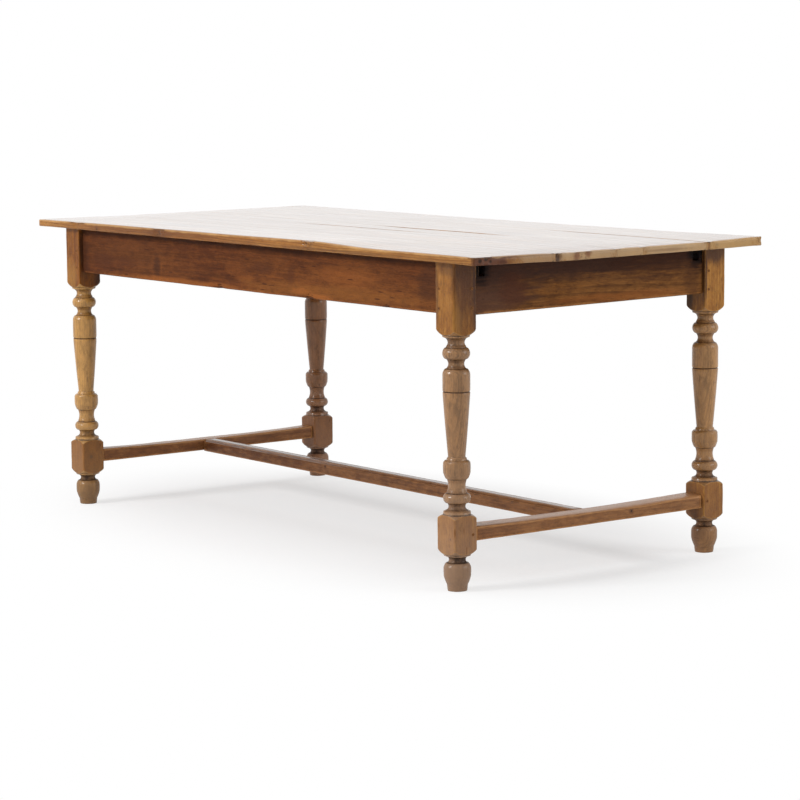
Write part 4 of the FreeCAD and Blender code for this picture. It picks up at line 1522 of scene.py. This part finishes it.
for name, side in (("apron_front", -1), ("apron_back", 1)):
    low_y, high_y = sorted(side * face for face in long_apron_faces)
    outer_y = side * long_apron_faces[1]
    low, high = (-inner_leg_x, low_y, apron_foot), (inner_leg_x, high_y, leg_head)
    piece = timber(name + "_board", low, high, apron_step, apron_ease)
    wear_lower_arris(piece, 1, outer_y)
    for x, reach, depth in apron_chips:
        bite(piece, (x, outer_y, apron_foot), reach, depth, (0, -side * 0.4, 1))
    stains = [
        ((x, outer_y, z), (reach_x, apron_mark_depth, reach_z), colour, strength)
        for x, z, reach_x, reach_z, colour, strength in apron_marks
    ]
    finish_apron(
        piece, name, apron_colours, "X", (0, side * 0.30, 0.60), ring_width=0.006, wander=0.035,
        ring_strength=0.2, streak_strength=0.85, mottle=0.28, flecks=0.8, stains=stains,
        knots=[((x, outer_y, z), size) for x, z, size in apron_nicks],
    )

# %% [markdown]
# The end aprons are paler at the foot and darker above, with patina and a painted shadow of the top. The
# right one was sawn a little out of true: its lower edge rises towards the back. Then the notches are
# sawn, and painted shade inside them makes the wood nearly black.

# %% End aprons
end_apron_faces = (0.7855, 0.8075)
right_tilt = 0.003
end_apron_colours = ((0.38, 0.165, 0.048), (0.235, 0.090, 0.020), (0.045, 0.017, 0.008))
# the painted shade inside the arm notches, and its reach
notch_shade, notch_reach = (0.006, 0.004, 0.004), (0.2, 0.034, 0.058)
notch_x, notch_y, notch_z = 0.7965, 0.325, 0.725
# the first two rows are patina and the painted shadow of the top; the rows in the colour shaded are painted
# shade towards the back
end_apron_marks = (
    (0.0, 0.735, 1.2, 0.075, patina_and_shade, 0.95),
    (-0.32, 0.69, 0.20, 0.10, patina_and_shade, 0.75),
    (-0.33, 0.63, 0.16, 0.05, (0.105, 0.048, 0.030), 0.6),
    (-0.23, 0.66, 0.05, 0.05, (0.085, 0.028, 0.014), 0.6),
    (0.10, 0.628, 0.24, 0.014, orange_wood, 0.45),
    (0.31, 0.66, 0.03, 0.09, shaded, 0.5),
    (0.20, 0.70, 0.18, 0.045, shaded, 0.55),
)


def out_of_true(point):
    """Lift the lower edge towards the back, and leave the upper edge level."""
    point.z += right_tilt * point.y / inner_leg_y * (leg_head - point.z) / (leg_head - apron_foot)
    return point


for name, side in (("apron_left", -1), ("apron_right", 1)):
    low_x, high_x = sorted(side * face for face in end_apron_faces)
    outer_x = side * end_apron_faces[1]
    low, high = (low_x, -inner_leg_y, apron_foot), (high_x, inner_leg_y, leg_head)
    piece = timber(name + "_board", low, high, apron_step, apron_ease)
    wear_lower_arris(piece, 0, outer_x)
    if name == "apron_right":
        shift(piece, out_of_true)
    cut_arm_notches(piece, low_x, high_x)
    stains = [
        ((outer_x, y, z), (apron_mark_depth, reach_y, reach_z), colour, strength)
        for y, z, reach_y, reach_z, colour, strength in end_apron_marks
    ]
    for y in (-notch_y, notch_y):
        # painted shade inside each notch
        stains.append(((side * notch_x, y, notch_z), notch_reach, notch_shade, 1.0))
    finish_apron(
        piece, name, end_apron_colours, "Y", (side * 0.70, 0, 0.58), ring_width=0.007, wander=0.06,
        ring_strength=0.5, mottle=0.35, flecks=0.35, stains=stains,
    )

# %% [markdown]
# The foot rails carry the boots of everyone at table. The tops of the end rails are worn hollow and
# shiny, and their upper outer arrises have gone round.

# %% End rails
end_rail_low, end_rail_high = Vector((0.760, 0, 0.1105)), Vector((0.810, 0, 0.1445))
end_rail_step, rail_across_step = 0.010, 0.009
end_rail_ease = 0.0022
end_rail_hollow = 0.004
end_rail_waves, end_rail_dents = 0.0007, 0.0014
arris_wear, arris_wear_noise = 0.0022, 11
rail_colours = ((0.52, 0.25, 0.090), (0.235, 0.088, 0.026), (0.10, 0.036, 0.014))
scuffed = (0.50, 0.26, 0.12)

for name, side in (("rail_left", -1), ("rail_right", 1)):
    low_x, high_x = sorted((side * end_rail_low.x, side * end_rail_high.x))
    low, high = (low_x, -inner_leg_y, end_rail_low.z), (high_x, inner_leg_y, end_rail_high.z)
    piece = timber(name + "_bar", low, high, end_rail_step, end_rail_ease, rail_across_step)

    def hollow(point):
        up = max(0.0, point.z - end_rail_low.z) / (end_rail_high.z - end_rail_low.z)
        share = point.y / inner_leg_y
        outer = max(0.0, (point.x * side - end_rail_low.x) / (end_rail_high.x - end_rail_low.x))
        point.z -= end_rail_hollow * up * (1 - share * share)
        point.z -= arris_wear * up * outer ** 4 * (1 + noise.noise(point * arris_wear_noise))
        return point

    shift(piece, hollow)
    age(piece, end_rail_waves, end_rail_dents)
    mark_edges(piece)
    smooth(piece)
    finish = wood(
        name + "_wood", rail_colours, "Y", (side * 0.74, 0, 0.09), ring_width=0.004, wander=0.02,
        knots=(((side * 0.81, 0.12, 0.128), 0.004),),
        stains=(((side * 0.785, 0.05, 0.1425), (0.07, 0.50, 0.009), scuffed, 0.5),),
        mottle=0.32, flecks=0.3, roughness=0.36, wax=0.5, side_wax=0.3, end_dark=0.3,
    )
    register(piece, "rail_wood", finish, name)

# %% [markdown]
# The middle rail ties the two end rails together. Fewer feet reach it, so its bar stays straight and
# keeps the chamfers along its upper arrises.

# %% Middle rail
middle_rail_half = 0.022
middle_rail_low, middle_rail_high = 0.1085, 0.1405
middle_rail_step, middle_rail_ease = 0.012, 0.0012
middle_rail_waves, middle_rail_dents = 0.0005, 0.0008
chamfer, chamfer_rise = 0.006, 0.0084
middle_rail_colours = ((0.34, 0.155, 0.058), (0.140, 0.050, 0.015), (0.065, 0.022, 0.009))
piece = timber(
    "rail_middle_bar", (-end_rail_low.x, -middle_rail_half, middle_rail_low),
    (end_rail_low.x, middle_rail_half, middle_rail_high), middle_rail_step, middle_rail_ease,
    rail_across_step,
)


def bevel_top(point):
    """Lower the upper arrises to a sloping face."""
    over = abs(point.y) - (middle_rail_half - chamfer)
    up = point.z - middle_rail_high + chamfer_rise
    if over > 0 and up > 0:
        point.z -= over * up / chamfer_rise
    return point


shift(piece, bevel_top)
age(piece, middle_rail_waves, middle_rail_dents)
mark_edges(piece)
smooth(piece)
finish = wood(
    "rail_middle_wood", middle_rail_colours, "X", (0, 0.03, 0.10), ring_width=0.004, wander=0.02,
    roughness=0.33, wax=0.9, side_wax=0.05, wax_roughness=0.12, end_dark=0.3,
    knots=(((0.35, -0.022, 0.125), 0.004), ((-0.2, -0.022, 0.13), 0.003)),
)
register(piece, "rail_wood", finish, "rail_middle")

# %% [markdown]
# Riven pegs lock the tenons. A peg is split from a straight stick and pared to nine rough sides, and it
# stands a little proud, because the leg has shrunk round it. One of each length is modelled, and each
# copy is turned its own way as it is driven in.

# %% Pegs
peg_radius, peg_sides = 0.0035, 9
peg_rim, peg_ring, dome_fall = 0.0006, 0.0012, 0.0005
peg_unevenness, peg_noise = 0.08, 300
peg_proud = 0.0008
peg_heights = (0.6285, 0.672)
peg_inset = 0.012
rail_peg_height = 0.1275
short_peg_place = (0.772, 0.1097)
peg_colours = ((0.26, 0.11, 0.032), (0.19, 0.075, 0.021), (0.08, 0.030, 0.012))


def make_peg(length):
    """A peg along Z, hanging from the floor, its upper end pared to a low dome."""
    put_down()
    bpy.ops.mesh.primitive_cylinder_add(
        vertices=peg_sides, radius=peg_radius, depth=length, location=(0, 0, -length / 2),
    )
    piece = bpy.context.object
    settle(piece)
    work_on(piece)
    choose(piece, "FACE", lambda face: face.normal.z > 0.9)
    bpy.ops.mesh.inset(thickness=peg_rim)
    bpy.ops.mesh.inset(thickness=peg_ring)

    def on_rim(vertex):
        return vertex.co.z > -0.0001 and vertex.co.xy.length > peg_radius - 0.0004

    def rough(point):
        return point.x * (1 + peg_unevenness * noise.noise(point * peg_noise)), point.y, point.z

    choose(piece, "VERT", on_rim)
    bpy.ops.transform.translate(value=(0, 0, -dome_fall))
    put_down()
    shift(piece, rough)
    return piece


def drive(peg, place, direction):
    """A copy of the peg at a place, its proud end pointing along a direction."""
    copy = duplicate(peg, "peg")
    copy.rotation_mode = "QUATERNION"
    copy.rotation_quaternion = Vector(direction).to_track_quat("Z", "Y")
    copy.rotation_quaternion.rotate(Matrix.Rotation(random.uniform(0, math.tau), 3, Vector(direction)))
    copy.location = place
    settle(copy)
    return copy


def joined(name, parts):
    """Several meshes made into one piece."""
    pick_up(*parts)
    bpy.ops.object.join()
    parts[0].name = name
    return parts[0]


apron_peg, rail_peg, short_peg = [make_peg(length) for length in (0.040, 0.052, 0.026)]
apron_pegs = []
rail_pegs = []
for side_x in (-1, 1):
    for side_y in (-1, 1):
        outer_x = side_x * (leg_x + leg_half + peg_proud)
        outer_y = side_y * (leg_y + leg_half + peg_proud)
        beside_x = side_x * (inner_leg_x + peg_inset)
        beside_y = side_y * (inner_leg_y + peg_inset)
        for height in peg_heights:
            apron_pegs.append(drive(apron_peg, (beside_x, outer_y, height), (0, side_y, 0)))
            apron_pegs.append(drive(apron_peg, (outer_x, beside_y, height), (side_x, 0, 0)))
        rail_pegs.append(drive(rail_peg, (outer_x, beside_y, rail_peg_height), (side_x, 0, 0)))
    short_x, short_z = short_peg_place
    rail_pegs.append(drive(short_peg, (side_x * short_x, 0, short_z), (0, 0, -1)))
for model in (apron_peg, rail_peg, short_peg):
    bpy.data.objects.remove(model)
for name, pegs in (("apron_pegs", apron_pegs), ("rail_pegs", rail_pegs)):
    piece = joined(name + "_riven", pegs)
    mark_edges(piece)
    smooth(piece, degrees=25)
    finish = wood(
        name + "_wood", peg_colours, "Y", (0.4, 0, 0.5), ring_width=0.0015, roughness=0.55, wax=0.0,
        end_dark=0.5,
    )
    register(piece, "peg_wood", finish, name)

# %% [markdown]
# Under the top nothing was planed for show. Two bearers lie across the table, from apron to apron, and
# hold the five boards level. They are notched in line with the end aprons and bored for the screws.
# Their wood is dry, greyish and dusty.

# %% Bearers
bearer_low, bearer_high = Vector((0.3075, -0.3815, 0.648)), Vector((0.3525, 0.3815, 0.732))
bearer_middle = 0.33
bearer_step, bearer_across_step, bearer_ease = 0.012, 0.011, 0.0015
bearer_waves, bearer_dents = 0.0005, 0.0008
inner_colours = ((0.30, 0.20, 0.125), (0.17, 0.105, 0.062), (0.08, 0.046, 0.026))
screw_rows = (-0.2565, -0.110, 0.019, 0.1565, 0.284)
screw_seat = 0.706
bore_radius, bore_depth, bore_sides = 0.006, 0.08, 20
bore_end = screw_seat + 0.003


def bore(piece, x, y):
    """Drill up from below, as far as the head of a screw will reach."""
    put_down()
    place = (x, y, bore_end - bore_depth / 2)
    bpy.ops.mesh.primitive_cylinder_add(
        vertices=bore_sides, radius=bore_radius, depth=bore_depth, location=place,
    )
    take_away(piece, bpy.context.object)


for name, side in (("bearer_left", -1), ("bearer_right", 1)):
    low_x, high_x = sorted((side * bearer_low.x, side * bearer_high.x))
    low, high = (low_x, *bearer_low.yz), (high_x, *bearer_high.yz)
    piece = timber(name + "_bar", low, high, bearer_step, bearer_ease, bearer_across_step)
    age(piece, bearer_waves, bearer_dents)
    cut_arm_notches(piece, low_x, high_x)
    for row in screw_rows:
        bore(piece, side * bearer_middle, row)
    mark_edges(piece)
    smooth(piece)
    finish = wood(
        name + "_wood", inner_colours, "Y", (side * 0.30, 0, 0.66), ring_width=0.005, roughness=0.7,
        wax=0.0, grime=0.4,
    )
    register(piece, "inner_wood", finish, name)

# %% [markdown]
# Short blocks are rubbed into the corners under the boards with hot glue: slid back and forth until the
# glue grips. Their free arris is sawn off. They stop the aprons from twisting away from the top.

# %% Glue blocks
block_side, block_length, block_chamfer = 0.028, 0.070, 0.010
block_step, block_across_step, block_ease = 0.010, 0.009, 0.0012
block_waves, block_dents = 0.0003, 0.0006
long_apron_places, end_apron_places = (-0.560, 0, 0.560), (-0.150, 0.150)


def make_block(place, along, inward):
    """A block from a place in the corner, along X or Y, and inward across that."""
    along_axis, across = (0, 1) if along == "X" else (1, 0)
    low, high = place.copy(), place.copy()
    low[along_axis] -= block_length / 2
    high[along_axis] += block_length / 2
    low[across], high[across] = sorted((place[across], place[across] + inward * block_side))
    low.z -= block_side
    piece = timber("glue_block", low, high, block_step, block_ease, block_across_step)

    def saw(point):
        out_by = abs(point[across] - place[across])
        over = out_by + (place.z - point.z) - (2 * block_side - block_chamfer)
        if over > 0:
            point.z += over / 2
            point[across] -= inward * over / 2
        return point

    shift(piece, saw)
    return piece


blocks = []
for side in (-1, 1):
    for step in long_apron_places:
        blocks.append(make_block(Vector((step, side * long_apron_faces[0], leg_head)), "X", -side))
    for step in end_apron_places:
        blocks.append(make_block(Vector((side * end_apron_faces[0], step, leg_head)), "Y", -side))
piece = joined("glue_blocks_rubbed", blocks)
age(piece, block_waves, block_dents)
mark_edges(piece)
smooth(piece)
finish = wood(
    "glue_blocks_wood", inner_colours, "X", (0, 0.33, 0.70), ring_width=0.004, roughness=0.72, wax=0.0,
    grime=0.5,
)
register(piece, "inner_wood", finish, "glue_blocks")

# %% [markdown]
# A wood screw goes up through each bearer into each board, its head sunk in a bore. Its head is turned,
# and the slot is sawn across it. Only someone on the floor with a torch will ever see them.

# %% Screws
screw_sides = 24
screw_profile = (
    (0.0, 0.0), (0.0044, 0.0), (0.0046, 0.0004), (0.0024, 0.003), (0.0024, 0.030), (0.0011, 0.0375),
    (0.0, 0.039),
)
slot_low, slot_high = (-0.006, -0.0005, -0.001), (0.006, 0.0005, 0.0009)


def make_screw():
    """A screw from its head up, without bevelled arrises, its slot sawn across."""
    piece = turn_on_lathe("screw", screw_profile, screw_sides, 0)
    cut_out(piece, slot_low, slot_high)
    return piece


def screw_finish():
    """Old steel: grey with brown rust bloom."""
    material = bpy.data.materials.new("old_steel")
    material.use_nodes = True
    wiring = Wiring(material.node_tree)
    shader = material.node_tree.nodes["Principled BSDF"].inputs
    place = material.node_tree.nodes.new("ShaderNodeTexCoord").outputs["Object"]
    rust = wiring.spread(wiring.cloud(place, 420.0, 4.0, 0.6), 0.42, 0.6)
    wiring.feed(shader["Base Color"], wiring.blend(rust, (0.30, 0.29, 0.28, 1), (0.13, 0.055, 0.03, 1)))
    wiring.feed(shader["Metallic"], wiring.minus(1.0, rust))
    wiring.feed(shader["Roughness"], wiring.spread(rust, 0.0, 1.0, 0.38, 0.8))
    bump = wiring.add("Bump", {"Height": rust, "Distance": 0.0001, "Strength": 1.0})
    wiring.feed(shader["Normal"], bump)
    return material


screw = make_screw()
screws = []
for side in (-1, 1):
    for row in screw_rows:
        copy = duplicate(screw, "screw")
        copy.rotation_euler.z = random.uniform(0, math.pi)
        copy.location = (side * bearer_middle, row, screw_seat)
        settle(copy)
        screws.append(copy)
bpy.data.objects.remove(screw)
piece = joined("bearer_screws_slotted", screws)
smooth(piece, degrees=35)
register(piece, "screw_steel", screw_finish(), "bearer_screws")
